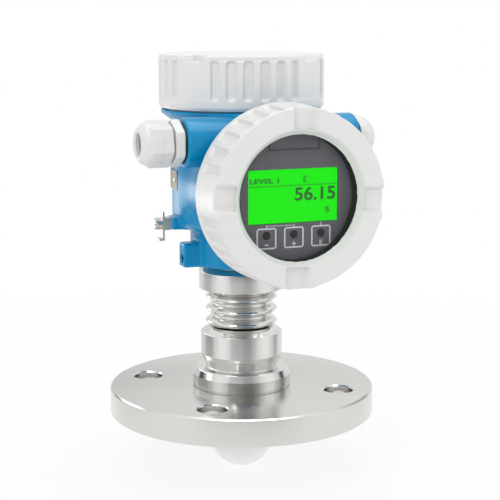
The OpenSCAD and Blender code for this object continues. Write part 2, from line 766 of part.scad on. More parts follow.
module display_cover() {
    window_depth = cover_h - window_bevel_h;
    pocket_depth = cover_h - window_bevel_h - 0.4;
    color(light_grey) on_display_axis(rim_forward + cover_gap)
        rotate([0, 0, display_cover_phase]) difference() {
            cover_form(display_cover_d, display_skirt_d);
            cover_notches();
            cover_bores(seal_h - cover_gap + seat_fit, pocket_depth - glass_t - retainer_t);
            cylinder(d = window_d, h = cover_h + 1, $fn = 96);
            translate([0, 0, window_depth])
                cylinder(d1 = window_d, d2 = window_bevel_d, h = window_bevel_h + eps, $fn = 96);
            cylinder(d = glass_d + 2 * seat_fit, h = pocket_depth, $fn = 96);
        }
}

module window_glass() {
    color([0.75, 0.85, 0.88, 0.4]) on_display_axis(-glass_back_y)
        cylinder(d = glass_d, h = glass_t, $fn = 96);
}

module glass_retainer() {
    color(soft_black) on_display_axis(-glass_back_y - retainer_t)
        ring(glass_d, window_d - 0.4, retainer_t, $fn = 96);
}

// ---- Display module ----

module display_holder() {
    holder_d = spigot_bore_d - 2 * seat_fit;
    seat = cup_floor_y - bezel_back_y;
    depth = seat + holder_grip;
    color(soft_black) on_display_axis(-cup_floor_y) difference() {
        cylinder(d = holder_d, h = depth, $fn = 96);
        translate([0, 0, seat]) cylinder(d = bezel_d + 2 * running_fit, h = depth, $fn = 96);
        translate([0, 0, -1]) cylinder(d = bezel_d - 2 * bezel_wall + 0.4, h = depth + 2, $fn = 96);
    }
}

module display_shell() {
    screen_z = 0.4;
    color(dark_grey) on_display_axis(-bezel_back_y) difference() {
        rotate_extrude($fn = 96) polygon([[0, 0], [bezel_d / 2, 0], [bezel_d / 2, bezel_h - 0.8],
            [bezel_d / 2 - 0.8, bezel_h], [0, bezel_h]]);
        translate([0, 0, -1]) cylinder(d = bezel_d - 2 * bezel_wall, h = bezel_h - 2.4, $fn = 96);
        translate([-screen_w / 2, screen_z - screen_h / 2, -1]) cube([screen_w, screen_h, bezel_h + 2]);
        for (i = [-1:1]) translate([i * key_pitch, -key_drop + 1.7, -1])
            cylinder(d = key_lens_d + 2 * seat_fit, h = bezel_h + 2, $fn = 32);
        for (i = [-1:1]) translate([i * key_pitch, -key_drop, bezel_h - 0.3]) difference() {
            translate([-key_w / 2, -key_w / 2, 0]) cube([key_w, key_w, 1]);
            translate([-key_w / 2 + 1, -key_w / 2 + 1, -1]) cube([key_w - 2, key_w - 2, 3]);
        }
    }
}

module screen_panel() {
    frame_w = 1.6;
    color([0.12, 0.94, 0.0]) on_display_axis(-bezel_back_y + bezel_h - 3.6 - screen_t) union() {
        translate([-screen_w / 2 - frame_w, 0.4 - screen_h / 2 - frame_w, 0])
            cube([screen_w + 2 * frame_w, screen_h + 2 * frame_w, screen_t]);
        translate([-screen_w / 2 + 0.2, 0.6 - screen_h / 2, 0])
            cube([screen_w - 0.4, screen_h - 0.4, screen_t + 2]);
    }
}

module key_lenses() {
    color([0.05, 0.05, 0.06]) on_display_axis(-bezel_back_y + bezel_h - 0.2 - key_lens_h)
        for (i = [-1:1]) translate([i * key_pitch, -key_drop + 1.7, 0])
            cylinder(d = key_lens_d, h = key_lens_h, $fn = 32);
}

module display_board() {
    screen_back = bezel_h - 3.6 - screen_t;
    color([0.08, 0.28, 0.18]) on_display_axis(-bezel_back_y - board_back) union() {
        cylinder(d = bezel_d - 2 * bezel_wall - 2 * seat_fit, h = board_back + screen_back, $fn = 96);
        translate([0, 0, -2.4]) cylinder(d = 30, h = 3);
        for (a = [55, 125, 255, 285]) rotate([0, 0, a]) translate([bezel_d / 2 - 6.5, 0, 0])
            cylinder(d = 4, h = board_back + bezel_h - 3.5, $fn = 24);
    }
}

// ---- Cable entries ----

module gland_body() {
    color(light_grey) on_gland_axis(boss_face_x - thread_engaged) difference() {
        union() {
            cylinder(d = entry_thread_d - 2 * seat_fit, h = thread_engaged + gasket_t);
            translate([0, 0, thread_engaged + gasket_t]) eased_hex(gland_hex_l);
            translate([0, 0, thread_engaged + gasket_t])
                cylinder(d = gland_stem_d, h = gland_hex_l + gland_stem_l);
        }
        translate([0, 0, -1]) cylinder(d = 11, h = 60);
        translate([0, 0, thread_engaged + gasket_t + gland_hex_l - 1])
            cylinder(d = gland_seal_d + 2 * seat_fit, h = 40);
    }
}

module gland_gasket() {
    color(soft_black) on_gland_axis(boss_face_x) ring(hex_af - 0.6, entry_thread_d + 0.2, gasket_t);
}

module gland_seal() {
    color([0.55, 0.55, 0.56]) on_gland_axis(gland_x + gland_hex_l) difference() {
        union() {
            cylinder(d = gland_seal_d, h = gland_seal_l);
            cylinder(d = nut_opening_d - 1.4, h = gland_seal_l + gland_washer_t + 0.6);
        }
        translate([0, 0, -1]) cylinder(d = cable_d, h = gland_seal_l + 6);
    }
}

// Thrust washer that the nut carries between itself and the seal
module gland_washer() {
    color([0.80, 0.66, 0.33]) on_gland_axis(gland_x + gland_hex_l + gland_seal_l)
        ring(gland_stem_d + 0.2, nut_opening_d, gland_washer_t);
}

module gland_nut() {
    dome_r = hex_d / 2 - 0.4;
    bend_r = 7.2;
    color(light_grey) on_gland_axis(nut_x) difference() {
        union() {
            rotate([0, 0, nut_turn]) eased_hex(nut_hex_l + 0.2);
            rotate_extrude() polygon(concat([[0, nut_hex_l], [dome_r, nut_hex_l]],
                arc(dome_r - bend_r, nut_l - bend_r, bend_r, 0, 84, 9), [[0, nut_l]]));
        }
        translate([0, 0, -1]) cylinder(d = gland_stem_d + 2 * thread_fit, h = nut_inner_l + 1);
        translate([0, 0, -1]) cylinder(d = nut_opening_d, h = nut_l + 2);
        translate([0, 0, nut_l - 1.2])
            cylinder(d1 = nut_opening_d, d2 = nut_opening_d + 2.6, h = 1.3);
    }
}

// A plug with a hexagonal side and a domed head
module blind_plug() {
    socket_af = 8;
    head_x = thread_engaged + gasket_t;
    color(light_grey) on_plug_axis(boss_face_x - thread_engaged) difference() {
        union() {
            cylinder(d = entry_thread_d - 2 * seat_fit, h = head_x);
            translate([0, 0, head_x]) intersection() {
                cylinder(d = hex_d, h = plug_head_l, $fn = 6);
                rotate_extrude() polygon(concat([[0, 0], [hex_d / 2 - 0.8, 0]],
                    arc(0, 0.3, plug_dome_r, 2, asin((plug_head_l - 0.3) / plug_dome_r), 14),
                    [[0, plug_head_l]]));
            }
        }
        translate([0, 0, head_x + plug_head_l - 4]) cylinder(d = socket_af / cos(30), h = 5, $fn = 6);
    }
}

module plug_gasket() {
    color(soft_black) on_plug_axis(boss_face_x) ring(hex_af - 0.6, entry_thread_d + 0.2, gasket_t);
}

// ---- Ground terminal, locks and nameplate ----

module ground_clamp() {
    strip_w = 7;
    strip_up = 7.2;
    strip_down = 9;
    color(steel) translate([-ground_reach - clamp_gap, 0, ground_z - 0.8]) difference() {
        union() {
            translate([-clamp_t, -strip_w / 2, -strip_down]) cube([clamp_t, strip_w, strip_down + strip_up]);
            translate([0, -strip_w / 2, -ground_block_h / 2]) cube([clamp_gap, strip_w, ground_block_h]);
            translate([-clamp_t - 2.2, -strip_w / 2, -strip_down - clamp_t])
                cube([clamp_t + 2.2, strip_w, clamp_t]);
        }
        translate([-10, 0, 0]) rotate([0, 90, 0]) cylinder(d = ground_shank_d + 0.4, h = 20);
    }
}

clamp_gap = 4.4;

module ground_screw() {
    head_l = 4.8;
    slot_w = 1;
    color(steel) translate([-ground_reach - clamp_gap - clamp_t, 0, ground_z - 0.8]) rotate([0, -90, 0])
        difference() {
            union() {
                rotate_extrude() polygon([[0, 0], [ground_head_d / 2, 0],
                    [ground_head_d / 2, head_l - 0.8], [ground_head_d / 2 - 0.8, head_l], [0, head_l]]);
                translate([0, 0, -clamp_gap - clamp_t - 7.6])
                    cylinder(d = ground_shank_d, h = clamp_gap + clamp_t + 7.7);
            }
            translate([-slot_w / 2, -6, head_l - 1.5]) cube([slot_w, 12, 3]);
        }
}

module locking_screw() {
    socket_af = 2.5;
    tip_x = journal_d / 2 * cos(asin(-lock_screw_y / (journal_d / 2))) + free_gap;
    length = lug_reach - 0.9 - tip_x;
    color([0.30, 0.31, 0.33]) translate([-tip_x, lock_screw_y, lock_screw_z]) rotate([0, -90, 0])
        difference() {
            rotate_extrude() polygon([[0, 0], [lock_screw_d / 2 - 0.8, 0], [lock_screw_d / 2, 0.8],
                [lock_screw_d / 2, length - 0.4], [lock_screw_d / 2 - 0.4, length], [0, length]]);
            translate([0, 0, length - 2.4]) cylinder(d = socket_af / cos(30), h = 4, $fn = 6);
        }
}

module cover_lock() {
    color(steel) translate([lock_x - 3.4, lock_y - 3.6, lock_boss_z - 1.4]) difference() {
        cube([6.8, 7.2, 1.4]);
        translate([3.4, 3.6, -1]) cylinder(d = 3.4, h = 4);
    }
}

module cover_lock_screw() {
    head_h = 3;
    color([0.30, 0.31, 0.33]) translate([lock_x, lock_y, lock_boss_z - 1.4 - head_h]) difference() {
        union() {
            cylinder(d = 5, h = head_h);
            cylinder(d = 3, h = head_h + 1.4 + 7);
        }
        translate([0, 0, -1]) cylinder(d = 2.5 / cos(30), h = 2.6, $fn = 6);
    }
}

// The bare plate follows the barrel on the gland side and ends at the back
module nameplate() {
    color([0.62, 0.63, 0.62]) translate([0, 0, plate_z]) rotate([0, 0, 186 - plate_angle])
        rotate_extrude(angle = plate_angle, $fn = 128)
            translate([barrel_d / 2 + seat_fit, 0]) square([plate_t, plate_h]);
}

plate_z = axis_z - 3.6;

module nameplate_rivets() {
    color(steel) for (a = [5, plate_angle - 5]) translate([0, 0, plate_z + plate_h / 2])
        rotate([0, 0, 186 - plate_angle + a]) rotate([0, 90, 0])
            translate([0, 0, barrel_d / 2 + seat_fit + plate_t + 0.02]) rotate_extrude()
                polygon([[0, 0], [1.5, 0], [1.3, 0.4], [0.7, 0.7], [0, 0.8]]);
}

flange();
process_adapter();
antenna_dome();
antenna_seal();
feed_window();
waveguide();
finned_neck();
neck_seal();
neck_retaining_ring();
housing();
compartment_feedthrough();
electronics_module();
display_holder();
terminal_block();
terminal_screws();
connection_cover_seal();
connection_cover();
display_cover_seal();
display_cover();
window_glass();
glass_retainer();
display_shell();
screen_panel();
key_lenses();
display_board();
gland_body();
gland_gasket();
gland_seal();
gland_washer();
gland_nut();
blind_plug();
plug_gasket();
ground_clamp();
ground_screw();
locking_screw();
cover_lock();
cover_lock_screw();
nameplate();
nameplate_rivets();
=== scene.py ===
"""Dresses the radar level transmitter with its finishes, fine shapes, light and camera."""

import logging
import math
from dataclasses import dataclass, field
from enum import Enum
from typing import Any, Callable, Sequence

import bmesh
import bpy
import numpy as np
from mathutils import Matrix, Vector

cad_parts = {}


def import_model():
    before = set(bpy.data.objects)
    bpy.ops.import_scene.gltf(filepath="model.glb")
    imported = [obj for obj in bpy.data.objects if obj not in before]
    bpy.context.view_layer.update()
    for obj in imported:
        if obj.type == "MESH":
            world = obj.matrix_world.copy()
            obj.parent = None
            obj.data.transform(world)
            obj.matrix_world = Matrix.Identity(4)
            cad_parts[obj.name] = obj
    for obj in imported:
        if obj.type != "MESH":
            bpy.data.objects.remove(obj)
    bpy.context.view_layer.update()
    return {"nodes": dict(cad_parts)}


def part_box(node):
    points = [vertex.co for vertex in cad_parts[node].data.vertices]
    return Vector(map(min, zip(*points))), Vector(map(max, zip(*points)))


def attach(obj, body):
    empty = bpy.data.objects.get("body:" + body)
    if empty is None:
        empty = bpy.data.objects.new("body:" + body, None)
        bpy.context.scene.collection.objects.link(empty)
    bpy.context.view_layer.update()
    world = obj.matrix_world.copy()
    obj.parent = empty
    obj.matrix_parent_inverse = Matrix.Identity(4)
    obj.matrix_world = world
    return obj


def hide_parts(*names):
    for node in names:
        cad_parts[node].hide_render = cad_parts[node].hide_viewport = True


LOG = logging.getLogger("transmitter")
MM = 0.001
# a radius past the axis: a turned profile that starts there has no corner on the axis
CORE = -9.0
# how far the neck's journal reaches above the housing's foot, in millimetres
JOURNAL_H = 12.7
# colour wanders in clouds about 22 mm wide, and a light guide's glow in patches of about 40 mm
CLOUDS_PER_M = 45.0
GUIDE_PATCHES_PER_M = 25.0
Profile = Sequence[tuple[float, float, float]]
Pairs = Sequence[tuple[float, float]]
Box = tuple[Sequence[float], Sequence[float]]
Distance = Callable[[np.ndarray], np.ndarray]


# --- Colours and nodes ---


def linear(code: str) -> tuple[float, float, float, float]:
    """Turns an sRGB hex colour to linear light.

    Args:
        code: Six hex digits with a leading #.

    Returns:
        Red, green, blue and an alpha of 1.
    """
    parts = [int(code[i : i + 2], 16) / 255 for i in (1, 3, 5)]
    red, green, blue = (c / 12.92 if c <= 0.04045 else ((c + 0.055) / 1.055) ** 2.4 for c in parts)
    return red, green, blue, 1.0


def add_node(
    tree: bpy.types.NodeTree, kind: str, inputs: dict[str | int, Any] | None = None, **settings: Any
) -> Any:
    """Adds a node, sets it up and links what is linked.

    Args:
        tree: The tree that gets the node.
        kind: The node's class name.
        inputs: Socket name or number to a value, to another node's output, or to a node whose
            first output it takes.
        **settings: Attributes of the node.

    Returns:
        The new node.
    """
    node = tree.nodes.new(kind)
    for name, value in settings.items():
        setattr(node, name, value)
    for key, value in (inputs or {}).items():
        socket = node.inputs[key]
        if isinstance(value, bpy.types.Node):
            value = value.outputs[0]
        if isinstance(value, bpy.types.NodeSocket):
            tree.links.new(value, socket)
        else:
            socket.default_value = value
    return node


def new_material(name: str) -> tuple[bpy.types.Material, bpy.types.NodeTree]:
    """Makes a material with an empty tree.

    Args:
        name: The material's name.

    Returns:
        The material and its tree.
    """
    made = bpy.data.materials.new(name)
    made.use_nodes = True
    made.node_tree.nodes.clear()
    return made, made.node_tree


@dataclass(frozen=True)
class Finish:
    """A surface finish, built once as a material.

    Attributes:
        name: The material's name.
        colour: Its sRGB base colour.
        roughness: Roughness of the bare surface.
        metallic: 1 for a metal, 0 for anything else.
        grain_mm: Size of the surface's grain.
        grain_depth_mm: Height of that grain.
        tint: How far the colour wanders from place to place, from 0 to 1.
    """

    name: str
    colour: str
    roughness: float
    metallic: float = 0.0
    grain_mm: float = 1.0
    grain_depth_mm: float = 0.004
    tint: float = 0.04

    def material(self) -> bpy.types.Material:
        """Gives the material, made on its first use.

        Returns:
            The material.
        """
        found = bpy.data.materials.get(self.name)
        if found:
            return found
        made, tree = new_material(self.name)
        place = add_node(tree, "ShaderNodeTexCoord")
        shader = add_node(
            tree, "ShaderNodeBsdfPrincipled", {"Metallic": self.metallic, "Roughness": self.roughness}
        )
        self.dress(tree, shader, place.outputs["Object"])
        add_node(tree, "ShaderNodeOutputMaterial", {"Surface": shader.outputs[0]})
        made.diffuse_color = linear(self.colour)
        return made

    def dress(self, tree: bpy.types.NodeTree, shader: Any, place: bpy.types.NodeSocket) -> None:
        """Adds the colour, gloss and grain.

        Args:
            tree: The material's tree.
            shader: Its surface shader.
            place: Object coordinates.
        """
        self.wander(tree, shader, place, self.colour)
        self.grain(tree, shader, place)

    def wander(self, tree: bpy.types.NodeTree, shader: Any, place: bpy.types.NodeSocket, colour: str) -> None:
        """Lets colour and roughness wander slowly, as a real surface does.

        Args:
            tree: The material's tree.
            shader: Its surface shader.
            place: Object coordinates.
            colour: The sRGB colour to wander about.
        """
        clouds = add_node(
            tree, "ShaderNodeTexNoise", {"Vector": place, "Scale": CLOUDS_PER_M, "Detail": 4.0}
        )
        base = linear(colour)
        low = tuple(c * (1 - self.tint) for c in base[:3]) + (1.0,)
        high = tuple(min(1.0, c * (1 + self.tint * 0.6)) for c in base[:3]) + (1.0,)
        mix = add_node(tree, "ShaderNodeMix", {"Factor": clouds.outputs["Fac"]}, data_type="RGBA")
        mix.inputs[6].default_value, mix.inputs[7].default_value = low, high
        tree.links.new(mix.outputs[2], shader.inputs["Base Color"])
        spread = {"To Min": self.roughness * 0.85, "To Max": self.roughness * 1.15}
        gloss = add_node(tree, "ShaderNodeMapRange", {"Value": clouds.outputs["Fac"], **spread})
        tree.links.new(gloss.outputs[0], shader.inputs["Roughness"])

    def grain(self, tree: bpy.types.NodeTree, shader: Any, place: bpy.types.NodeSocket) -> None:
        """Adds the fine relief of the surface.

        Args:
            tree: The material's tree.
            shader: Its surface shader.
            place: Object coordinates.
        """
        relief = add_node(
            tree, "ShaderNodeTexNoise", {"Vector": place, "Scale": 1.0 / (self.grain_mm * MM), "Detail": 3.0}
        )
        bump = add_node(
            tree,
            "ShaderNodeBump",
            {"Height": relief.outputs["Fac"], "Distance": self.grain_depth_mm * MM, "Strength": 1.0},
        )
        tree.links.new(bump.outputs[0], shader.inputs["Normal"])


@dataclass(frozen=True)
class PowderCoat(Finish):
    """Baked powder coat on cast aluminium: a gloss skin with a faint orange peel.

    Attributes:
        coat: Weight of the clear top skin.
        sheen: Specular level of the paint under it.
    """

    coat: float = 0.5
    sheen: float = 0.3

    def dress(self, tree: bpy.types.NodeTree, shader: Any, place: bpy.types.NodeSocket) -> None:
        """Adds the peel of the paint and its clear top skin.

        Args:
            tree: The material's tree.
            shader: Its surface shader.
            place: Object coordinates.
        """
        super().dress(tree, shader, place)
        shader.inputs["Coat Weight"].default_value = self.coat
        shader.inputs["Coat Roughness"].default_value = 0.12
        shader.inputs["Specular IOR Level"].default_value = self.sheen


class Lay(Enum):
    """Which way the tool marks of a metal run."""

    TURNED = "round the upright axis"
    BRUSHED = "along the upright axis"


@dataclass(frozen=True)
class MachinedSteel(Finish):
    """Metal with the marks of the tool that cut it.

    Attributes:
        lay: Which way the marks run.
        mark_mm: Width of a mark.
    """

    lay: Lay = Lay.TURNED
    mark_mm: float = 0.35

    def dress(self, tree: bpy.types.NodeTree, shader: Any, place: bpy.types.NodeSocket) -> None:
        """Adds tool marks, which streak the reflections across the lay.

        Args:
            tree: The material's tree.
            shader: Its surface shader.
            place: Object coordinates.
        """
        self.wander(tree, shader, place, self.colour)
        parts = add_node(tree, "ShaderNodeSeparateXYZ", {"Vector": place})
        flat = add_node(tree, "ShaderNodeVectorMath", {0: place, 1: (1.0, 1.0, 0.0)}, operation="MULTIPLY")
        reach = add_node(tree, "ShaderNodeVectorMath", {0: flat}, operation="LENGTH")
        one, two = parts.outputs["X"], parts.outputs["Y"]
        if self.lay is Lay.TURNED:
            one, two = parts.outputs["Z"], reach.outputs["Value"]
        along = add_node(tree, "ShaderNodeMath", {0: one, 1: two}, operation="ADD")
        # a lathe feeds about 0.1 mm a turn, which is drawn coarser here so that it shows
        marks = add_node(
            tree,
            "ShaderNodeTexNoise",
            {"W": along, "Scale": 1.0 / (self.mark_mm * MM), "Detail": 2.0},
            noise_dimensions="1D",
        )
        bump = add_node(
            tree,
            "ShaderNodeBump",
            {"Height": marks.outputs["Fac"], "Distance": self.grain_depth_mm * MM, "Strength": 1.0},
        )
        tree.links.new(bump.outputs[0], shader.inputs["Normal"])


@dataclass(frozen=True)
class ClearGlass(Finish):
    """Polished safety glass, thin enough that it doesn't bend the view.

    Attributes:
        opacity: Share of the view that the film on the glass hides.
    """

    opacity: float = 0.006

    def dress(self, tree: bpy.types.NodeTree, shader: Any, place: bpy.types.NodeSocket) -> None:
        """Makes the glass clear, with a faint film that wanders.

        Args:
            tree: The material's tree.
            shader: Its surface shader.
            place: Object coordinates.
        """
        self.wander(tree, shader, place, self.colour)
        shader.inputs["Alpha"].default_value = self.opacity
        shader.inputs["IOR"].default_value = 1.52


@dataclass(frozen=True)
class LitPanel(Finish):
    """A backlit liquid crystal panel: an even glow behind a matt filter.

    Attributes:
        glow: Strength of the backlight.
        unlit: The panel's sRGB colour without it.
    """

    glow: float = 0.9
    unlit: str = "#0B4A08"

    def dress(self, tree: bpy.types.NodeTree, shader: Any, place: bpy.types.NodeSocket) -> None:
        """Adds the glow, which wanders a little as a light guide's does.

        Args:
            tree: The material's tree.
            shader: Its surface shader.
            place: Object coordinates.
        """
        self.wander(tree, shader, place, self.unlit)
        self.grain(tree, shader, place)
        shader.inputs["Specular IOR Level"].default_value = 0.05
        clouds = add_node(
            tree, "ShaderNodeTexNoise", {"Vector": place, "Scale": GUIDE_PATCHES_PER_M, "Detail": 1.0}
        )
        level = add_node(
            tree, "ShaderNodeMapRange", {"Value": clouds.outputs["Fac"], "To Min": 0.93, "To Max": 1.0}
        )
        shade = add_node(tree, "ShaderNodeMix", {"Factor": level}, data_type="RGBA")
        base = linear(self.colour)
        shade.inputs[6].default_value = tuple(c * 0.3 for c in base[:3]) + (1.0,)
        shade.inputs[7].default_value = base
        tree.links.new(shade.outputs[2], shader.inputs["Emission Color"])
        shader.inputs["Emission Strength"].default_value = self.glow


# baked powder coat on cast aluminium: a clear blue with soft highlights and a faint orange peel
BLUE = PowderCoat(
    "powder_coat_blue_gloss", "#008ABD", 0.26, grain_mm=1.6, grain_depth_mm=0.003, coat=0.15, sheen=0.2
)
# the same coat in light grey, duller, with a rougher peel
PALE = PowderCoat(
    "powder_coat_light_grey", "#DFDFDE", 0.42, grain_mm=1.2, grain_depth_mm=0.006, coat=0.15, tint=0.02
)
# stainless steel: sharp bands of reflection where it is turned, softer ones with wider rings where faced
STEEL = MachinedSteel("stainless_steel_turned", "#DBDAD8", 0.1, 1.0, grain_depth_mm=0.0006)
FACED = MachinedSteel("stainless_steel_faced", "#D9D8D5", 0.2, 1.0, grain_depth_mm=0.0012, mark_mm=0.6)
# a dull even shine on screw heads, and fine upright streaks on brushed sheet
SCREW = MachinedSteel("stainless_steel_cold_headed", "#D8D4CC", 0.36, 1.0, grain_depth_mm=0.001)
SHEET = MachinedSteel("stainless_steel_sheet", "#D8D4CC", 0.42, 1.0, grain_depth_mm=0.001, lay=Lay.BRUSHED)
# etched plate: the same streaks on a darker grey
PLATE = MachinedSteel(
    "stainless_steel_etched_plate", "#7A766F", 0.4, 1.0, grain_depth_mm=0.001, lay=Lay.BRUSHED
)
# blackened steel: nearly black, with a soft shine
DARK_STEEL = Finish("steel_blackened", "#4A4B4E", 0.35, 1.0, grain_mm=0.5, grain_depth_mm=0.004)
# turned brass: warm yellow with fine rings
BRASS = MachinedSteel("brass_turned", "#C9A55A", 0.25, 1.0, grain_depth_mm=0.0015)
# machined PTFE: waxy white, nearly matt
FLUOROPOLYMER = Finish("ptfe_machined", "#EFEFED", 0.45, grain_mm=0.5, grain_depth_mm=0.003, tint=0.015)
# moulded polyamide: a satin light grey with a fine mould grain
POLYAMIDE = Finish(
    "polyamide_moulded_light_grey", "#DBDBD9", 0.38, grain_mm=0.6, grain_depth_mm=0.004, tint=0.02
)
# moulded rubbers: matt, with an open grain and patchy colour
RUBBER = Finish("nitrile_rubber_black", "#1A1A1B", 0.6, grain_mm=0.4, grain_depth_mm=0.01, tint=0.15)
PALE_RUBBER = Finish("silicone_rubber_grey", "#A3A5A6", 0.6, grain_mm=0.4, grain_depth_mm=0.008, tint=0.06)
GREY_RUBBER = Finish("chloroprene_rubber_grey", "#77787A", 0.6, grain_mm=0.4, grain_depth_mm=0.008, tint=0.1)
# moulded polycarbonate: dark and matt, from an eroded mould
BLACK_POLYMER = Finish(
    "polycarbonate_black_moulded", "#1C1C1E", 0.5, grain_mm=0.4, grain_depth_mm=0.006, tint=0.12
)
SHELL = Finish(
    "polycarbonate_dark_grey_moulded", "#55555A", 0.55, grain_mm=0.35, grain_depth_mm=0.006, tint=0.05
)
# screen printing ink: a thin pale film without shine
PRINT = Finish("screen_printing_ink_pale", "#C9CCD2", 0.5, grain_mm=0.3, grain_depth_mm=0.003)
# window for infrared light: glossy, and black to the eye
LENS = Finish("infrared_window_black_gloss", "#0A0A0B", 0.3, grain_mm=0.8, grain_depth_mm=0.001, tint=0.2)
# liquid crystal panel: an even green glow, and segments that let little of it through
LCD = LitPanel("lcd_backlit_green", "#14F000", 0.35, grain_mm=0.5, grain_depth_mm=0.001)
LCD_INK = Finish("lcd_segments_dark", "#0C640C", 0.6, grain_mm=0.5, grain_depth_mm=0.001, tint=0.1)
# epoxy board under solder resist: dark green, half gloss, with the weave faintly raised
BOARD = Finish("epoxy_circuit_board_green", "#16482C", 0.4, grain_mm=0.7, grain_depth_mm=0.01, tint=0.15)
# polished safety glass: sharp reflections and a hardly visible film
GLASS = ClearGlass("safety_glass_clear", "#E8F1F4", 0.03, tint=0.01)


# --- Meshes ---


def linked(name: str, data: bpy.types.ID) -> bpy.types.Object:
    """Makes an object of its data and links it into the scene.

    Args:
        name: The object's name.
        data: A mesh, text curve, lamp or camera.

    Returns:
        The object.
    """
    made = bpy.data.objects.new(name, data)
    bpy.context.scene.collection.objects.link(made)
    return made


def plain_mesh(name: str, points: Any, faces: Sequence[Sequence[int]]) -> bpy.types.Mesh:
    """Makes a mesh from its corners and faces.

    Args:
        name: The mesh's name.
        points: Corner points in metres.
        faces: Corner numbers of each face.

    Returns:
        The mesh.
    """
    mesh = bpy.data.meshes.new(name)
    mesh.from_pydata(np.asarray(points).tolist(), [], [list(f) for f in faces])
    return mesh


def bmesh_to_mesh(name: str, work: bmesh.types.BMesh) -> bpy.types.Mesh:
    """Turns an edit mesh into a mesh, and frees it.

    Args:
        name: The mesh's name.
        work: The edit mesh.

    Returns:
        The mesh.
    """
    mesh = bpy.data.meshes.new(name)
    work.to_mesh(mesh)
    work.free()
    return mesh


def piece(
    name: str,
    points: np.ndarray,
    faces: Sequence[Sequence[int]],
    finish: Finish,
    body: str,
    normals: np.ndarray,
) -> bpy.types.Object:
    """Makes a finished piece that rides on a body.

    Args:
        name: The piece's name.
        points: Corner points in metres.
        faces: Corner numbers of each face.
        finish: Its finish.
        body: The body that it rides on.
        normals: Normal of each corner.

    Returns:
        The new object.
    """
    mesh = plain_mesh(name, points, faces)
    mesh.validate()
    mesh.shade_smooth()
    mesh.normals_split_custom_set_from_vertices(normals.tolist())
    return adopt(name, mesh, finish, body)


def adopt(name: str, mesh: bpy.types.Mesh, finish: Finish, body: str) -> bpy.types.Object:
    """Puts a mesh into the scene as a piece of the object.

    Args:
        name: The piece's name.
        mesh: Its mesh, in place.
        finish: Its finish.
        body: The body that it rides on.

    Returns:
        The new object.
    """
    made = linked(name, mesh)
    mesh.materials.clear()
    mesh.materials.append(finish.material())
    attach(made, body)
    LOG.info("%s: %d faces on %s", name, len(mesh.polygons), body)
    return made


def baked(holder: bpy.types.Object) -> bpy.types.Mesh:
    """Turns an object and its modifiers into one plain mesh, and removes the object.

    Args:
        holder: The object with the modifiers.

    Returns:
        The plain mesh.
    """
    bpy.context.view_layer.update()
    graph = bpy.context.evaluated_depsgraph_get()
    mesh = bpy.data.meshes.new_from_object(holder.evaluated_get(graph))
    bpy.data.objects.remove(holder, do_unlink=True)
    return mesh


def settle(mesh: bpy.types.Mesh) -> None:
    """Merges a mesh's doubled points and turns its faces outwards.

    Args:
        mesh: The mesh, changed in place.
    """
    work = bmesh.new()
    work.from_mesh(mesh)
    bmesh.ops.remove_doubles(work, verts=work.verts, dist=1e-6)
    bmesh.ops.recalc_face_normals(work, faces=work.faces)
    work.to_mesh(mesh)
    work.free()


def rounded(profile: Profile, steps: int = 5) -> tuple[np.ndarray, np.ndarray]:
    """Rounds the corners of a turned profile.

    Args:
        profile: Radius, height and corner radius of each corner, in millimetres.
        steps: Segments of each rounded corner.

    Returns:
        The points, and the outward normal at each, for a profile that runs up its outer side.
    """
    raw = np.array([(p[0], p[1]) for p in profile], float)
    reach = np.linalg.norm(np.diff(raw, axis=0), axis=1)
    ways = np.diff(raw, axis=0) / reach[:, None]
    points, normals = [], []
    # every corner is rounded a little, and takes up less than half of an edge
    least, share = 0.02, 0.48
    for i, corner in enumerate(raw):
        a, b = ways[max(i - 1, 0)], ways[min(i, len(ways) - 1)]
        turn = math.atan2(a[0] * b[1] - a[1] * b[0], float(a @ b))
        if abs(turn) < 0.01:
            points.append(corner)
            normals.append((a[1], -a[0]))
            continue
        bend = abs(math.tan(turn / 2))
        trim = min(max(profile[i][2], least) * bend, share * reach[i - 1], share * reach[i])
        radius = trim / bend
        start = corner - a * trim
        side = np.array((-a[1], a[0])) * math.copysign(1.0, turn)
        centre = start + side * radius
        for k in range(steps + 1):
            swing = turn * k / steps
            c, s = math.cos(swing), math.sin(swing)
            arm = -side * radius
            points.append(centre + np.array((c * arm[0] - s * arm[1], s * arm[0] + c * arm[1])))
            heading = np.array((c * a[0] - s * a[1], s * a[0] + c * a[1]))
            normals.append((heading[1], -heading[0]))
    return np.array(points), np.array(normals)


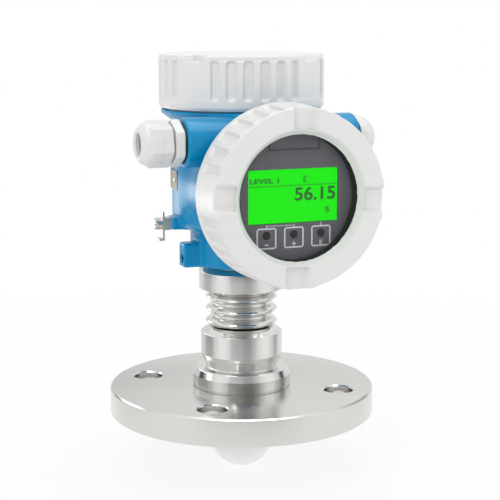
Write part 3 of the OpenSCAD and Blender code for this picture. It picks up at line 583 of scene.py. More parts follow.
def revolved(
    profile: Profile, place: Matrix, segments: int = 192, closed: bool = False
) -> tuple[np.ndarray, list[tuple[int, ...]], np.ndarray]:
    """Turns a profile round its axis.

    Args:
        profile: Radius, height and corner radius of each corner in millimetres, up the outer side.
        place: Carries the turned shape, in millimetres along +Z, to its place.
        segments: Steps round the axis.
        closed: Whether the last corner joins the first one, as in a ring.

    Returns:
        Points in metres, faces, and the normal at each point.
    """
    corners = list(profile)
    if closed:
        middle = ((corners[-1][0] + corners[0][0]) / 2, (corners[-1][1] + corners[0][1]) / 2, 0.0)
        corners = [middle, *corners, middle]
    line, slope = rounded(corners)
    if closed:
        line, slope = line[:-1], slope[:-1]
    angles = np.arange(segments) * 2 * math.pi / segments
    cos, sin = np.cos(angles), np.sin(angles)
    points, normals, rows = [], [], []
    for (r, z), (nr, nz) in zip(line, slope):
        if abs(r) < 1e-6:
            rows.append([len(points)])
            points.append((0.0, 0.0, z))
            normals.append((0.0, 0.0, math.copysign(1.0, nz)))
            continue
        rows.append(list(range(len(points), len(points) + segments)))
        points += [(r * c, r * s, z) for c, s in zip(cos, sin)]
        normals += [(nr * c, nr * s, nz) for c, s in zip(cos, sin)]
    faces: list[tuple[int, ...]] = []
    pairs = list(zip(rows, rows[1:])) + ([(rows[-1], rows[0])] if closed else [])
    for low, high in pairs:
        for i in range(segments):
            j = (i + 1) % segments
            ring = (low[i % len(low)], low[j % len(low)], high[j % len(high)], high[i % len(high)])
            # a pole has one point, so its faces are triangles
            faces.append(tuple(dict.fromkeys(ring)))
    spin = np.array(place.to_3x3())
    shift = np.array(place.translation)
    return (np.array(points) @ spin.T + shift) * MM, faces, np.array(normals) @ spin.T


def upright(z: float = 0.0) -> Matrix:
    """Places a shape on the neck's axis.

    Args:
        z: Height of its origin in millimetres.

    Returns:
        Its place.
    """
    return Matrix.Translation((0.0, 0.0, z))


def scaled(place: Matrix) -> Matrix:
    """Turns a place in millimetres into one in metres.

    Args:
        place: The place in millimetres.

    Returns:
        The place in metres.
    """
    made = place.copy()
    made.translation = place.translation * MM
    return made


# --- Solids by distance, for cast and moulded shapes with soft joins ---


def soft_join(a: np.ndarray, b: np.ndarray, fillet: float) -> np.ndarray:
    """Joins two solids with a fillet.

    Args:
        a: Distances to the first solid.
        b: Distances to the second solid.
        fillet: Size of the fillet in millimetres.

    Returns:
        Distances to the joined solid.
    """
    t = np.clip(0.5 + 0.5 * (b - a) / fillet, 0.0, 1.0)
    return b + (a - b) * t - fillet * t * (1 - t)


def soft_cut(a: np.ndarray, b: np.ndarray, edge: float) -> np.ndarray:
    """Cuts the second solid out of the first and rounds the new edge.

    Args:
        a: Distances to the solid that stays.
        b: Distances to the solid that is cut away.
        edge: Size of the rounding in millimetres.

    Returns:
        Distances to what is left.
    """
    return -soft_join(-a, b, edge)


def profile_distance(r: np.ndarray, z: np.ndarray, corners: Pairs, edge: float) -> np.ndarray:
    """Distance to a turned solid whose convex corners are rounded.

    Args:
        r: Distance of each point from the axis.
        z: Height of each point along the axis.
        corners: Radius and height of the profile's corners. The axis side lies at a negative radius.
        edge: Radius of its corners.

    Returns:
        Signed distances in millimetres, negative inside.
    """
    outline = np.array(corners, float)
    ahead, behind = np.roll(outline, -1, 0), np.roll(outline, 1, 0)
    area = float(np.sum(outline[:, 0] * ahead[:, 1] - ahead[:, 0] * outline[:, 1]))
    turn = 1.0 if area > 0 else -1.0

    def inward(edge_way: np.ndarray) -> np.ndarray:
        """Returns the unit normals that point into the outline, from the ways of its edges."""
        way = edge_way / np.linalg.norm(edge_way, axis=1, keepdims=True)
        return np.stack((-way[:, 1], way[:, 0]), 1) * turn

    n1, n2 = inward(outline - behind), inward(ahead - outline)
    scale = 1 + np.sum(n1 * n2, 1, keepdims=True)
    outline = outline + (n1 + n2) / np.maximum(scale, 0.3) * edge
    best = np.full(r.shape, np.inf)
    sign = np.ones(r.shape)
    for (ax, az), (bx, bz) in zip(outline, np.roll(outline, 1, 0)):
        ex, ez = bx - ax, bz - az
        wx, wz = r - ax, z - az
        t = np.clip((wx * ex + wz * ez) / (ex * ex + ez * ez), 0.0, 1.0)
        np.minimum(best, (wx - ex * t) ** 2 + (wz - ez * t) ** 2, out=best)
        above, below, left = z >= az, z < bz, ex * wz > ez * wx
        sign[(above & below & left) | ~(above | below | left)] *= -1
    return sign * np.sqrt(best) - edge


def round_bar(
    r: np.ndarray, z: np.ndarray, radius: float, low: float, high: float, edge: float
) -> np.ndarray:
    """Distance to a round bar with rounded ends.

    Args:
        r: Distance of each point from the axis.
        z: Height of each point along the axis.
        radius: The bar's radius.
        low: Height of its lower end.
        high: Height of its upper end.
        edge: Radius of its edges.

    Returns:
        Signed distances in millimetres.
    """
    return profile_distance(r, z, [(CORE, low), (radius, low), (radius, high), (CORE, high)], edge)


def box_distance(points: np.ndarray, low: Sequence[float], high: Sequence[float], edge: float) -> np.ndarray:
    """Distance to a box with rounded edges.

    Args:
        points: Points in millimetres.
        low: The box's lowest corner.
        high: The box's highest corner.
        edge: Radius of its edges.

    Returns:
        Signed distances in millimetres.
    """
    centre = (np.asarray(low) + np.asarray(high)) / 2
    half = (np.asarray(high) - np.asarray(low)) / 2 - edge
    q = np.abs(points - centre) - half
    outside = np.linalg.norm(np.maximum(q, 0.0), axis=1)
    return outside + np.minimum(q.max(axis=1), 0.0) - edge


def hexagon_distance(u: np.ndarray, v: np.ndarray, across: float) -> np.ndarray:
    """Distance to an endless hexagonal bar with corners along v.

    Args:
        u: First coordinate across the bar.
        v: Second coordinate across the bar.
        across: Its size across flats.

    Returns:
        Signed distances in millimetres.
    """
    c, s = math.cos(math.radians(60)), math.sin(math.radians(60))
    return np.maximum.reduce([np.abs(u), np.abs(u * c + v * s), np.abs(u * c - v * s)]) - across / 2


def skin(
    distance: Distance, low: Sequence[float], high: Sequence[float], step: float
) -> tuple[np.ndarray, np.ndarray, np.ndarray]:
    """Meshes a solid given by distance, with every corner point drawn onto its true surface.

    Args:
        distance: Gives the signed distance of points in millimetres.
        low: Lowest corner of the solid's box.
        high: Highest corner of the solid's box.
        step: Size of a mesh cell in millimetres.

    Returns:
        Points in metres, faces, and normals.
    """
    margin, block, far = 2.5 * step, 4, 50.0
    start = np.asarray(low, float) - margin
    blocks = np.ceil((np.asarray(high, float) + margin - start) / (block * step)).astype(int)
    counts = blocks * block + 1
    middles = [start[i] + block * step * (np.arange(blocks[i]) + 0.5) for i in range(3)]
    mesh = np.stack(np.meshgrid(*middles, indexing="ij"), -1).reshape(-1, 3)
    rough = distance(mesh).reshape(blocks)

    def spread(share: np.ndarray) -> np.ndarray:
        """Repeats each block's value over its cells."""
        return share.repeat(block, 0).repeat(block, 1).repeat(block, 2)

    # a block's corners lie within 3.5 cells of its middle, so a farther surface misses it
    cells = spread(np.abs(rough) < 3.9 * step)
    values = np.full(counts, far)
    values[:-1, :-1, :-1] = spread(np.where(rough < 0, -far, far))
    near = np.zeros(counts, bool)
    spans = (slice(0, -1), slice(1, None))
    corners = [(a, b, c) for a in (0, 1) for b in (0, 1) for c in (0, 1)]
    for a, b, c in corners:
        near[spans[a], spans[b], spans[c]] |= cells
    index = np.argwhere(near)
    values[near] = distance(start + index * step)
    inside = values < 0
    total = sum(inside[spans[a], spans[b], spans[c]].astype(np.int8) for a, b, c in corners)
    mixed = (total > 0) & (total < 8)
    number = np.full(mixed.shape, -1)
    cell = np.argwhere(mixed)
    number[mixed] = np.arange(len(cell))
    gathered = np.zeros((len(cell), 3))
    hits = np.zeros(len(cell))
    at = {c: values[tuple((cell + c).T)] for c in corners}
    for c in corners:
        for axis in range(3):
            if c[axis]:
                continue
            d = tuple(1 if k == axis else c[k] for k in range(3))
            crossing = (at[c] < 0) != (at[d] < 0)
            t = at[c][crossing] / (at[c][crossing] - at[d][crossing])
            spot = np.tile(np.array(c, float), (len(t), 1))
            spot[:, axis] += t
            gathered[crossing] += spot
            hits[crossing] += 1
    points = start + (cell + gathered / hits[:, None]) * step
    faces = []
    for axis in range(3):
        one, two = (axis + 1) % 3, (axis + 2) % 3
        lower = [slice(None)] * 3
        upper = [slice(None)] * 3
        lower[axis], upper[axis] = slice(0, -1), slice(1, None)
        here, there = inside[tuple(lower)], inside[tuple(upper)]
        edges = np.argwhere(here != there)
        keep = (edges[:, one] > 0) & (edges[:, two] > 0)
        edges = edges[keep]
        quad = []
        for back_one, back_two in ((1, 1), (0, 1), (0, 0), (1, 0)):
            e = edges.copy()
            e[:, one] -= back_one
            e[:, two] -= back_two
            quad.append(number[tuple(e.T)])
        quad = np.stack(quad, 1)
        solid_low = here[tuple(edges.T)]
        quad[~solid_low] = quad[~solid_low][:, ::-1]
        faces.append(quad)
    faces = np.concatenate(faces)
    faces = faces[(faces >= 0).all(axis=1)]

    def slope(spots: np.ndarray) -> np.ndarray:
        """Gives the surface's normals.

        Args:
            spots: Points in millimetres.

        Returns:
            The unit normal at each.
        """
        away = np.zeros_like(spots)
        for k in range(3):
            nudge = np.zeros(3)
            nudge[k] = 0.03
            away[:, k] = distance(spots + nudge) - distance(spots - nudge)
        return away / np.maximum(np.linalg.norm(away, axis=1, keepdims=True), 1e-9)

    for _ in range(3):
        gap = np.clip(distance(points), -0.6 * step, 0.6 * step)
        points = points - slope(points) * gap[:, None]
    return points * MM, faces, slope(points)


def drum(reach: float, length: float) -> Box:
    """Gives the box of a round solid that stands on its own origin.

    Args:
        reach: Its radius.
        length: Its length along +Z.

    Returns:
        The lowest and the highest corner.
    """
    return (-reach, -reach, 0.0), (reach, reach, length)


def skinned(
    name: str,
    rule: Distance,
    box: Box,
    steps: tuple[float, float],
    place: Matrix,
    finish: Finish,
    body: str,
) -> bpy.types.Object:
    """Meshes a solid given by distance and puts it in its place.

    Args:
        name: The piece's name.
        rule: Distance in the piece's own frame, in millimetres.
        box: Lowest and highest corner of the solid in that frame.
        steps: Size of a mesh cell, and a coarser one that is not used.
        place: The piece's place.
        finish: Its finish.
        body: The body that it rides on.

    Returns:
        The new object.
    """
    points, faces, normals = skin(rule, *box, steps[0])
    spin = np.array(place.to_3x3())
    points = points @ spin.T + np.array(place.translation) * MM
    return piece(name, points, faces, finish, body, normals @ spin.T)


# --- Geometry Nodes, for what repeats ---


@dataclass
class Rule:
    """A Geometry Nodes tree with named inputs, used on one mesh and then made plain.

    Attributes:
        name: The tree's name.
        sizes: Name, socket type and default value of each input.
    """

    name: str
    sizes: dict[str, tuple[str, Any]]

    def tree(self) -> tuple[Any, Any, Any]:
        """Makes the empty tree with its sockets.

        Returns:
            The tree, its input node and its output node.
        """
        tree = bpy.data.node_groups.new(self.name, "GeometryNodeTree")
        tree.interface.new_socket("Piece", in_out="INPUT", socket_type="NodeSocketGeometry")
        for label, (kind, value) in self.sizes.items():
            tree.interface.new_socket(label, in_out="INPUT", socket_type=kind).default_value = value
        tree.interface.new_socket("Finish", in_out="INPUT", socket_type="NodeSocketMaterial")
        tree.interface.new_socket("Copies", in_out="OUTPUT", socket_type="NodeSocketGeometry")
        return tree, add_node(tree, "NodeGroupInput"), add_node(tree, "NodeGroupOutput")

    def close(self, tree: Any, entry: Any, exit_node: Any, shapes: Any) -> None:
        """Realises the shapes and gives them their finish.

        Args:
            tree: The tree.
            entry: Its input node.
            exit_node: Its output node.
            shapes: The node that makes the shapes.
        """
        real = add_node(tree, "GeometryNodeRealizeInstances", {0: shapes})
        dressed = add_node(
            tree, "GeometryNodeSetMaterial", {"Geometry": real, "Material": entry.outputs["Finish"]}
        )
        tree.links.new(dressed.outputs[0], exit_node.inputs[0])

    def build(self) -> Any:
        """Returns the finished tree, which each rule makes in its own way."""
        raise NotImplementedError

    def run(self, mesh: bpy.types.Mesh, finish: Finish, values: dict[str, Any]) -> bpy.types.Mesh:
        """Builds the tree and runs it on a mesh.

        Args:
            mesh: The mesh that is repeated or used.
            finish: The copies' finish.
            values: Input name to value.

        Returns:
            The plain mesh.
        """
        tree = self.build()
        holder = linked(self.name, mesh)
        modifier = holder.modifiers.new(self.name, "NODES")
        modifier.node_group = tree
        wanted = {**values, "Finish": finish.material()}
        for item in tree.interface.items_tree:
            if item.item_type == "SOCKET" and item.in_out == "INPUT" and item.name in wanted:
                modifier[item.identifier] = wanted[item.name]
        made = baked(holder)
        bpy.data.node_groups.remove(tree)
        return made


class RingOfCopies(Rule):
    """Repeats a piece round the Z axis in groups, such as a cover's ribs."""

    def __init__(self) -> None:
        """Names the tree's inputs."""
        super().__init__(
            "ring_of_copies",
            {
                "Groups": ("NodeSocketInt", 4),
                "Per Group": ("NodeSocketInt", 5),
                "Step": ("NodeSocketFloat", 0.2),
                "Group Step": ("NodeSocketFloat", 1.5708),
                "Phase": ("NodeSocketFloat", 0.0),
            },
        )

    def build(self) -> Any:
        """Makes points at the axis that carry the copies, each turned by its number.

        Returns:
            The tree.
        """
        tree, entry, exit_node = self.tree()
        given, per_group = entry.outputs, entry.outputs["Per Group"]
        total = add_node(tree, "ShaderNodeMath", {0: given["Groups"], 1: per_group}, operation="MULTIPLY")
        spots = add_node(tree, "GeometryNodePoints", {"Count": total})
        number = add_node(tree, "GeometryNodeInputIndex")
        share = add_node(tree, "ShaderNodeMath", {0: number, 1: per_group}, operation="DIVIDE")
        group = add_node(tree, "ShaderNodeMath", {0: share}, operation="FLOOR")
        member = add_node(tree, "ShaderNodeMath", {0: number, 1: per_group}, operation="MODULO")
        gaps = add_node(tree, "ShaderNodeMath", {0: per_group, 1: 1.0}, operation="SUBTRACT")
        middle = add_node(tree, "ShaderNodeMath", {0: gaps, 1: -0.5}, operation="MULTIPLY")
        offset = add_node(tree, "ShaderNodeMath", {0: member, 1: middle}, operation="ADD")
        fine = add_node(tree, "ShaderNodeMath", {0: offset, 1: given["Step"]}, operation="MULTIPLY")
        terms = {0: group, 1: given["Group Step"], 2: given["Phase"]}
        coarse = add_node(tree, "ShaderNodeMath", terms, operation="MULTIPLY_ADD")
        angle = add_node(tree, "ShaderNodeMath", {0: fine, 1: coarse}, operation="ADD")
        turn = add_node(tree, "ShaderNodeCombineXYZ", {"Z": angle})
        copies = add_node(
            tree,
            "GeometryNodeInstanceOnPoints",
            {"Points": spots, "Instance": given["Piece"], "Rotation": turn},
        )
        self.close(tree, entry, exit_node, copies)
        return tree


class RowOfCopies(Rule):
    """Repeats a piece along a straight row, such as terminal screws or keys."""

    def __init__(self) -> None:
        """Names the tree's inputs."""
        super().__init__(
            "row_of_copies",
            {
                "Count": ("NodeSocketInt", 3),
                "Start": ("NodeSocketVector", (0.0, 0.0, 0.0)),
                "Step": ("NodeSocketVector", (0.01, 0.0, 0.0)),
            },
        )

    def build(self) -> Any:
        """Makes a line of points that carries the copies.

        Returns:
            The tree.
        """
        tree, entry, exit_node = self.tree()
        given = entry.outputs
        line = add_node(
            tree,
            "GeometryNodeMeshLine",
            {"Count": given["Count"], "Start Location": given["Start"], "Offset": given["Step"]},
        )
        copies = add_node(
            tree, "GeometryNodeInstanceOnPoints", {"Points": line, "Instance": given["Piece"]}
        )
        self.close(tree, entry, exit_node, copies)
        return tree


class ScrewThread(Rule):
    """Sweeps a crest along a helix, for the threads on the spigots."""

    def __init__(self) -> None:
        """Names the tree's inputs."""
        super().__init__(
            "screw_thread",
            {
                "Turns": ("NodeSocketFloat", 6.0),
                "Radius": ("NodeSocketFloat", 0.044),
                "Rise": ("NodeSocketFloat", 0.012),
                "Crest": ("NodeSocketFloat", 0.001),
            },
        )

    def build(self) -> Any:
        """Makes a spiral with a six-sided crest.

        Returns:
            The tree.
        """
        tree, entry, exit_node = self.tree()
        given = entry.outputs
        spiral = add_node(
            tree,
            "GeometryNodeCurveSpiral",
            {"Resolution": 96, "Rotations": given["Turns"], "Start Radius": given["Radius"],
             "End Radius": given["Radius"], "Height": given["Rise"]},
        )
        crest = add_node(
            tree, "GeometryNodeCurvePrimitiveCircle", {"Resolution": 6, "Radius": given["Crest"]}
        )
        swept = add_node(
            tree,
            "GeometryNodeCurveToMesh",
            {"Curve": spiral, "Profile Curve": crest, "Fill Caps": True},
        )
        self.close(tree, entry, exit_node, swept)
        return tree


# --- Where things are ---


@dataclass
class Places:
    """Places in millimetres, read from the solids' boxes.

    Attributes:
        flange_r: Radius of the flange.
        flange_t: Its thickness.
        foot: Height of the housing's foot.
        axis: Height of the display axis.
        entry_y: Forward place of the cable entry axis.
        entry_z: Height of the cable entry axis.
        boss: Half the distance between the entry boss's faces.
        rim: Height of the connection cover's open end.
        rim_y: Forward place of the display cover's open end.
        bezel_y: Forward place of the display's front face.
    """

    flange_r: float
    flange_t: float
    foot: float
    axis: float
    entry_y: float
    entry_z: float
    boss: float
    rim: float
    rim_y: float
    bezel_y: float

    @classmethod
    def read(cls) -> "Places":
        """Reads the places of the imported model.

        Returns:
            The places.
        """

        def low(node: str, k: int) -> float:
            """Returns the lower side of a node's box along an axis."""
            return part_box(node)[0][k] / MM

        def high(node: str, k: int) -> float:
            """Returns the upper side of a node's box along an axis."""
            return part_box(node)[1][k] / MM

        return cls(
            flange_r=high("flange", 0),
            flange_t=high("flange", 2),
            foot=high("finned_neck", 2) - JOURNAL_H,
            axis=(low("window_glass", 2) + high("window_glass", 2)) / 2,
            entry_y=(low("gland_gasket", 1) + high("gland_gasket", 1)) / 2,
            entry_z=(low("gland_gasket", 2) + high("gland_gasket", 2)) / 2,
            boss=-high("gland_gasket", 0),
            rim=low("connection_cover", 2),
            rim_y=high("display_cover", 1),
            bezel_y=low("display_shell", 1),
        )

    def front(self, y: float) -> Matrix:
        """Places a shape that looks forward along the display axis.

        Args:
            y: Forward place of its origin.

        Returns:
            Its place.
        """
        turn = Matrix(((1, 0, 0, 0), (0, 0, -1, 0), (0, 1, 0, 0), (0, 0, 0, 1)))
        return Matrix.Translation((0.0, y, self.axis)) @ turn

    def sideways(self, x: float) -> Matrix:
        """Places a shape that points away from the neck along the entry axis.

        Args:
            x: Sideways place of its origin, negative on the gland side.

        Returns:
            Its place.
        """
        way = math.copysign(1.0, x)
        turn = Matrix(((0, 0, way, 0), (0, 1, 0, 0), (-way, 0, 0, 0), (0, 0, 0, 1)))
        return Matrix.Translation((x, self.entry_y, self.entry_z)) @ turn


def local(points: np.ndarray, place: Matrix) -> np.ndarray:
    """Carries points back to a shape's own frame.

    Args:
        points: Points in millimetres.
        place: The shape's place.

    Returns:
        The points in the shape's frame.
    """
    back = place.inverted()
    return points @ np.array(back.to_3x3()).T + np.array(back.translation)


# --- Sub-assemblies ---


@dataclass
class ProcessSide:
    """Flange, adapter, dome antenna and finned neck, all turned.

    Attributes:
        at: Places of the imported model.
        bolt_circle: Radius of the bolt circle.
        bolt_hole: Radius of a bolt hole.
        bolt_phase: Angle of the first hole in degrees.
        flange_bore: Radius of the bore that takes the adapter.
        hub: Radius of the adapter's hub on the flange.
        hub_h: Height of the hub's upright wall.
        waist: Radius above the hub.
        waist_h: Height of the waist over the flange.
        sleeve: Radius of the adapter's upright wall.
        bore: Radius of the adapter's bore, which holds the neck's spigot.
        fins: Number of fins.
        fin_pitch: Distance from fin to fin.
        fin_root: Radius between the fins.
        fin_crest: Radius over the fins.
        collar: Radius of the collar under the housing.
        journal: Radius of the journal that the housing turns on.
        guide: Radius of the bore for the waveguide.
        dome_r: Radius of the dome antenna.
        body: The body that it all rides on.
    """

    at: Places
    bolt_circle: float = 62.5
    bolt_hole: float = 9.0
    bolt_phase: float = 53.0
    flange_bore: float = 23.98
    hub: float = 30.6
    hub_h: float = 7.1
    waist: float = 22.0
    waist_h: float = 11.6
    sleeve: float = 25.4
    bore: float = 14.0
    fins: int = 3
    fin_pitch: float = 7.8
    fin_root: float = 17.5
    fin_crest: float = 22.3
    collar: float = 26.5
    journal: float = 19.0
    guide: float = 5.0
    dome_r: float = 19.2
    body: str = "process_side"

    def build(self) -> None:
        """Builds the process side."""
        self.flange()
        self.adapter()
        self.neck()
        self.dome()

    def flange(self) -> None:
        """Turns the flange and drills its bolt holes, with eased edges."""
        r, t, inner, hole = self.at.flange_r, self.at.flange_t, self.flange_bore, self.bolt_hole
        edge, ease = 1.0, hole + 0.85
        blank_profile = [
            (inner, 0, 0.1), (r - edge, 0, 0.5), (r, edge, 0.5), (r, t - edge, 0.5), (r - edge, t, 0.5),
            (inner, t, 0.1),
        ]
        points, faces, _ = revolved(blank_profile, upright(), 256, closed=True)
        mesh = plain_mesh("flange_blank", points, faces)
        drill_profile = [
            (0, -2, 0), (hole, -2, 0), (hole, t - 0.8, 0.2), (ease, t, 0), (ease, t + 2, 0), (0, t + 2, 0),
        ]
        points, faces, _ = revolved(drill_profile, upright(), 96)
        drill = plain_mesh("drill", points + (self.bolt_circle * MM, 0, 0), faces)
        drills = RingOfCopies().run(
            drill, FACED,
            {"Groups": 4, "Per Group": 1, "Step": 0.0, "Group Step": math.pi / 2,
             "Phase": math.radians(self.bolt_phase)},
        )
        for m in (mesh, drills):
            settle(m)
        tool = linked("drills", drills)
        blank = linked("flange_blank", mesh)
        cut = blank.modifiers.new("holes", "BOOLEAN")
        cut.operation, cut.object, cut.solver = "DIFFERENCE", tool, "EXACT"
        even = blank.modifiers.new("even", "WEIGHTED_NORMAL")
        even.weight = 90
        blank.data.shade_smooth()
        drilled = baked(blank)
        bpy.data.objects.remove(tool, do_unlink=True)
        drilled.name = "flange_turned"
        made = adopt("flange_turned", drilled, FACED, self.body)
        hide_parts("flange")

    def turned(
        self, name: str, profile: Profile, node: str, finish: Finish = STEEL, closed: bool = False
    ) -> None:
        """Turns a piece on the neck's axis and hides the solid that it stands for.

        Args:
            name: The piece's name.
            profile: Its profile, up the outer side.
            node: The solid that it stands for.
            finish: Its finish.
            closed: Whether the profile is a ring.
        """
        points, faces, normals = revolved(profile, upright(), 224, closed)
        made = piece(name, points, faces, finish, self.body, normals)
        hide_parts(node)

    def adapter(self) -> None:
        """Turns the adapter: hub, taper, body and shoulder."""
        t, top = self.at.flange_t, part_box("process_adapter")[1][2] / MM
        hub, hub_top, waist_z = self.hub, t + self.hub_h, t + self.waist_h
        plug, seal_seat, sleeve, bore = 23.9, 19.3, self.sleeve, self.bore
        self.turned(
            "process_adapter_turned",
            [
                (seal_seat, 0.05, 0.1), (plug - 0.5, 0.05, 0.1), (plug, 0.5, 0.1), (plug, t, 0.05),
                (hub - 0.7, t + 0.02, 0.1), (hub - 0.7, t + 0.7, 0.1), (hub, t + 1.0, 0.1),
                (hub, hub_top, 0.5), (hub - 2.0, waist_z, 1.2), (self.waist, waist_z, 0.5),
                (sleeve, waist_z + 8.7, 0.8),
                (sleeve, top - 3.6, 0.7), (sleeve - 5.1, top, 0.5), (bore, top, 0.2), (bore, 12.2, 0.2),
                (seal_seat, 12.0, 0.2),
            ],
            "process_adapter", closed=True,
        )

    def neck(self) -> None:
        """Turns the neck: a spigot, pointed fins, the collar and the journal."""
        foot, low = self.at.foot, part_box("process_adapter")[1][2] / MM
        root, crest, bore, guide = self.fin_root, self.fin_crest, self.bore, self.guide
        corners: list[tuple[float, float, float]] = [
            (guide, low - 12, 0.2), (bore, low - 12, 0.3), (bore, low, 0.1), (root, low, 0.05),
        ]
        for i in range(self.fins):
            z = low + 3.3 + i * self.fin_pitch
            flank = [(root, z - 3.2, 0.8)] if i else []
            corners += [
                *flank, (crest - 2.1, z - 2.1, 0.6), (crest - 0.5, z - 0.8, 0.5), (crest, z, 0.4),
                (crest - 0.5, z + 0.8, 0.5), (crest - 2.1, z + 2.1, 0.6), (root, z + 3.2, 0.8),
            ]
        collar, journal, low_z, high_z = self.collar, self.journal, foot - 16.4, foot - 1.8
        corners += [
            (root, low_z, 0.5), (collar - 0.8, low_z, 0.4), (collar, low_z + 0.8, 0.4),
            (collar, foot - 4.9, 0.4), (collar - 2.7, high_z, 0.6), (journal, high_z, 0.2),
            (journal, foot + JOURNAL_H, 0.4), (guide, foot + JOURNAL_H, 0.2),
        ]
        self.turned("finned_neck_turned", corners, "finned_neck", closed=True)

    def dome(self) -> None:
        """Turns the dome antenna."""
        r, tip = self.dome_r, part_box("antenna_dome")[0][2] / MM
        arc = [
            (r * math.sin(math.radians(a)), tip + r - r * math.cos(math.radians(a)), 0.0)
            for a in np.linspace(0, 90, 31)
        ]
        self.turned("antenna_dome_turned", [*arc, (r, 11.4, 0.6), (0, 12, 0)], "antenna_dome", FLUOROPOLYMER)


@dataclass
class HousingCasting:
    """The cast housing with its two compartments, entry boss, lugs and machined spigots.

    Attributes:
        at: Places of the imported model.
        barrel: Radius of the upright barrel.
        neck_foot: Radius of its foot.
        shoulder: Height of the barrel's rounded shoulder over the foot.
        bend: Radius of that shoulder.
        cup: Radius of the cup behind the display.
        entry: Radius of the entry boss.
        rim: Radius of the rims under the covers.
        root: Radius under the threads that carry the covers.
        thread_l: Length of those threads.
        wall: Wall between the passage and the entry boss's faces.
        passage: Radius of the passage between the entries.
        entry_bore: Radius of the entries' bores.
        hollow: Radius of the upright compartment.
        case: Radius of the display compartment.
        tunnel: Radius of the compartment behind the display.
        socket: Radius of the bore that turns on the neck.
        ring_room: Radius of the room for the ring that keeps the neck.
        body: The body that it rides on.
    """

    at: Places
    barrel: float = 42.7
    neck_foot: float = 31.7
    shoulder: float = 30.8
    bend: float = 8.0
    cup: float = 41.5
    entry: float = 14.5
    rim: float = 48.9
    root: float = 43.9
    thread_l: float = 15.5
    wall: float = 15.0
    passage: float = 11.0
    entry_bore: float = 10.0
    hollow: float = 40.0
    case: float = 40.5
    tunnel: float = 24.0
    socket: float = 19.05
    ring_room: float = 26.7
    body: str = "housing_side"

    def distance(self, points: np.ndarray) -> np.ndarray:
        """Gives the distance to the casting.

        Args:
            points: Points in millimetres.

        Returns:
            Signed distances in millimetres.
        """
        y, z = points[:, 1], points[:, 2]
        cast = soft_cut(self.outside(points), self.bores(points), 0.5)
        # the hole of the screw that locks the housing's turn
        lock_hole = np.hypot(y + 4.75, z - self.at.foot - 5.3) - 2.6
        return np.maximum(cast, -np.maximum(lock_hole, points[:, 0] + 12))

    def outside(self, points: np.ndarray) -> np.ndarray:
        """Gives the distance to the casting's outer form: barrel, cup, entry boss and lugs.

        Args:
            points: Points in millimetres.

        Returns:
            Signed distances in millimetres.
        """
        at = self.at
        x, y, z = points.T
        foot, seat = at.foot, at.rim - 0.8
        bend, middle = self.bend, foot + self.shoulder
        arc = [
            (self.barrel - bend + bend * math.cos(a), middle + bend * math.sin(a))
            for a in np.radians(np.linspace(-83, 0, 7))
        ]
        barrel = profile_distance(
            np.hypot(x, y), z,
            [(CORE, foot), (self.neck_foot, foot), (self.neck_foot, foot + 22.4), *arc,
             (self.barrel, seat - 7.1), (self.rim, seat - 2.3), (self.rim, seat), (self.root, seat),
             (self.root, seat + self.thread_l), (CORE, seat + self.thread_l)],
            0.7,
        )
        front = local(points, at.front(0.0))
        seat, rim = -at.rim_y - 0.8, self.rim - 1.0
        cup = profile_distance(
            np.hypot(front[:, 0], front[:, 1]), front[:, 2],
            [(CORE, -10), (self.cup - 8, -10), (self.cup, 6), (self.cup, seat - 4.3), (rim, seat - 2.3),
             (rim, seat), (self.root, seat), (self.root, seat + self.thread_l), (CORE, seat + self.thread_l)],
            0.7,
        )
        face, ease = at.boss, self.entry - 0.6
        boss = profile_distance(
            np.hypot(y - at.entry_y, z - at.entry_z), x,
            [(CORE, -face), (ease, -face), (self.entry, 0.8 - face), (self.entry, face - 0.8), (ease, face),
             (CORE, face)],
            0.4,
        )
        block_z = foot + 27.6
        lock_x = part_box("cover_lock")[0][0] / MM + 3.4
        cast = soft_join(soft_join(barrel, cup, 5.0), boss, 3.0)
        # corners, edge and fillet of the locking screw's lug, the ground block and the cover lock's boss
        lugs = (
            ((-40.7, -9.9, foot), (-20, 0.4, foot + 14.9), 0.9, 1.6),
            ((-46.6, -6, block_z - 4.5), (-26, 6, block_z + 3.0), 1.0, 2.4),
            ((lock_x - 4, -60.3, at.axis - 54.1), (lock_x + 4, -51.3, at.axis - 38.1), 0.9, 1.2),
        )
        for low, high, edge, fillet in lugs:
            cast = soft_join(cast, box_distance(points, low, high, edge), fillet)
        return cast

    def bores(self, points: np.ndarray) -> np.ndarray:
        """Gives the distance to what is hollow inside the casting.

        Args:
            points: Points in millimetres.

        Returns:
            Signed distances in millimetres, negative in a hollow.
        """
        at = self.at
        x, y, z = points.T
        r = np.hypot(x, y)
        across = np.hypot(y - at.entry_y, z - at.entry_z)
        front = local(points, at.front(0.0))
        floor, depth, far = at.axis + 14.4, at.boss - self.wall, 99.0
        low, step, top = at.foot - 9, at.foot + 9.3, at.foot + 31.3
        # the tunnel's top lies 10.9 mm over the display axis
        middle = at.axis + 10.9 - self.tunnel
        return np.minimum.reduce([
            # the upright compartment, the passage between the entries, the display's compartment
            round_bar(r, z, self.hollow, floor, 300, 0.5),
            round_bar(across, x, self.passage, -depth, depth, 0.3),
            round_bar(np.hypot(front[:, 0], front[:, 1]), front[:, 2], self.case, 58.3, 120, 0.4),
            # the compartment behind the display, the stepped bore for the neck, the entries
            round_bar(np.hypot(x, z - middle), -y, self.tunnel, -18, 90, 0.4),
            profile_distance(
                r, z,
                [(CORE, low), (self.socket, low), (self.socket, step), (self.ring_room, step),
                 (self.ring_room, top), (CORE, top)],
                0.1,
            ),
            round_bar(across, x, self.entry_bore, -far, far, 0.1),
        ])

    def build(self) -> None:
        """Skins the casting, cuts its threads and hides the plain solid."""
        low, high = (np.array(c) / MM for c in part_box("housing"))
        made = skinned(
            "housing_casting", self.distance, (low, high), (1.25, 1.6), upright(), BLUE, self.body
        )
        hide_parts("housing")
        self.threads()

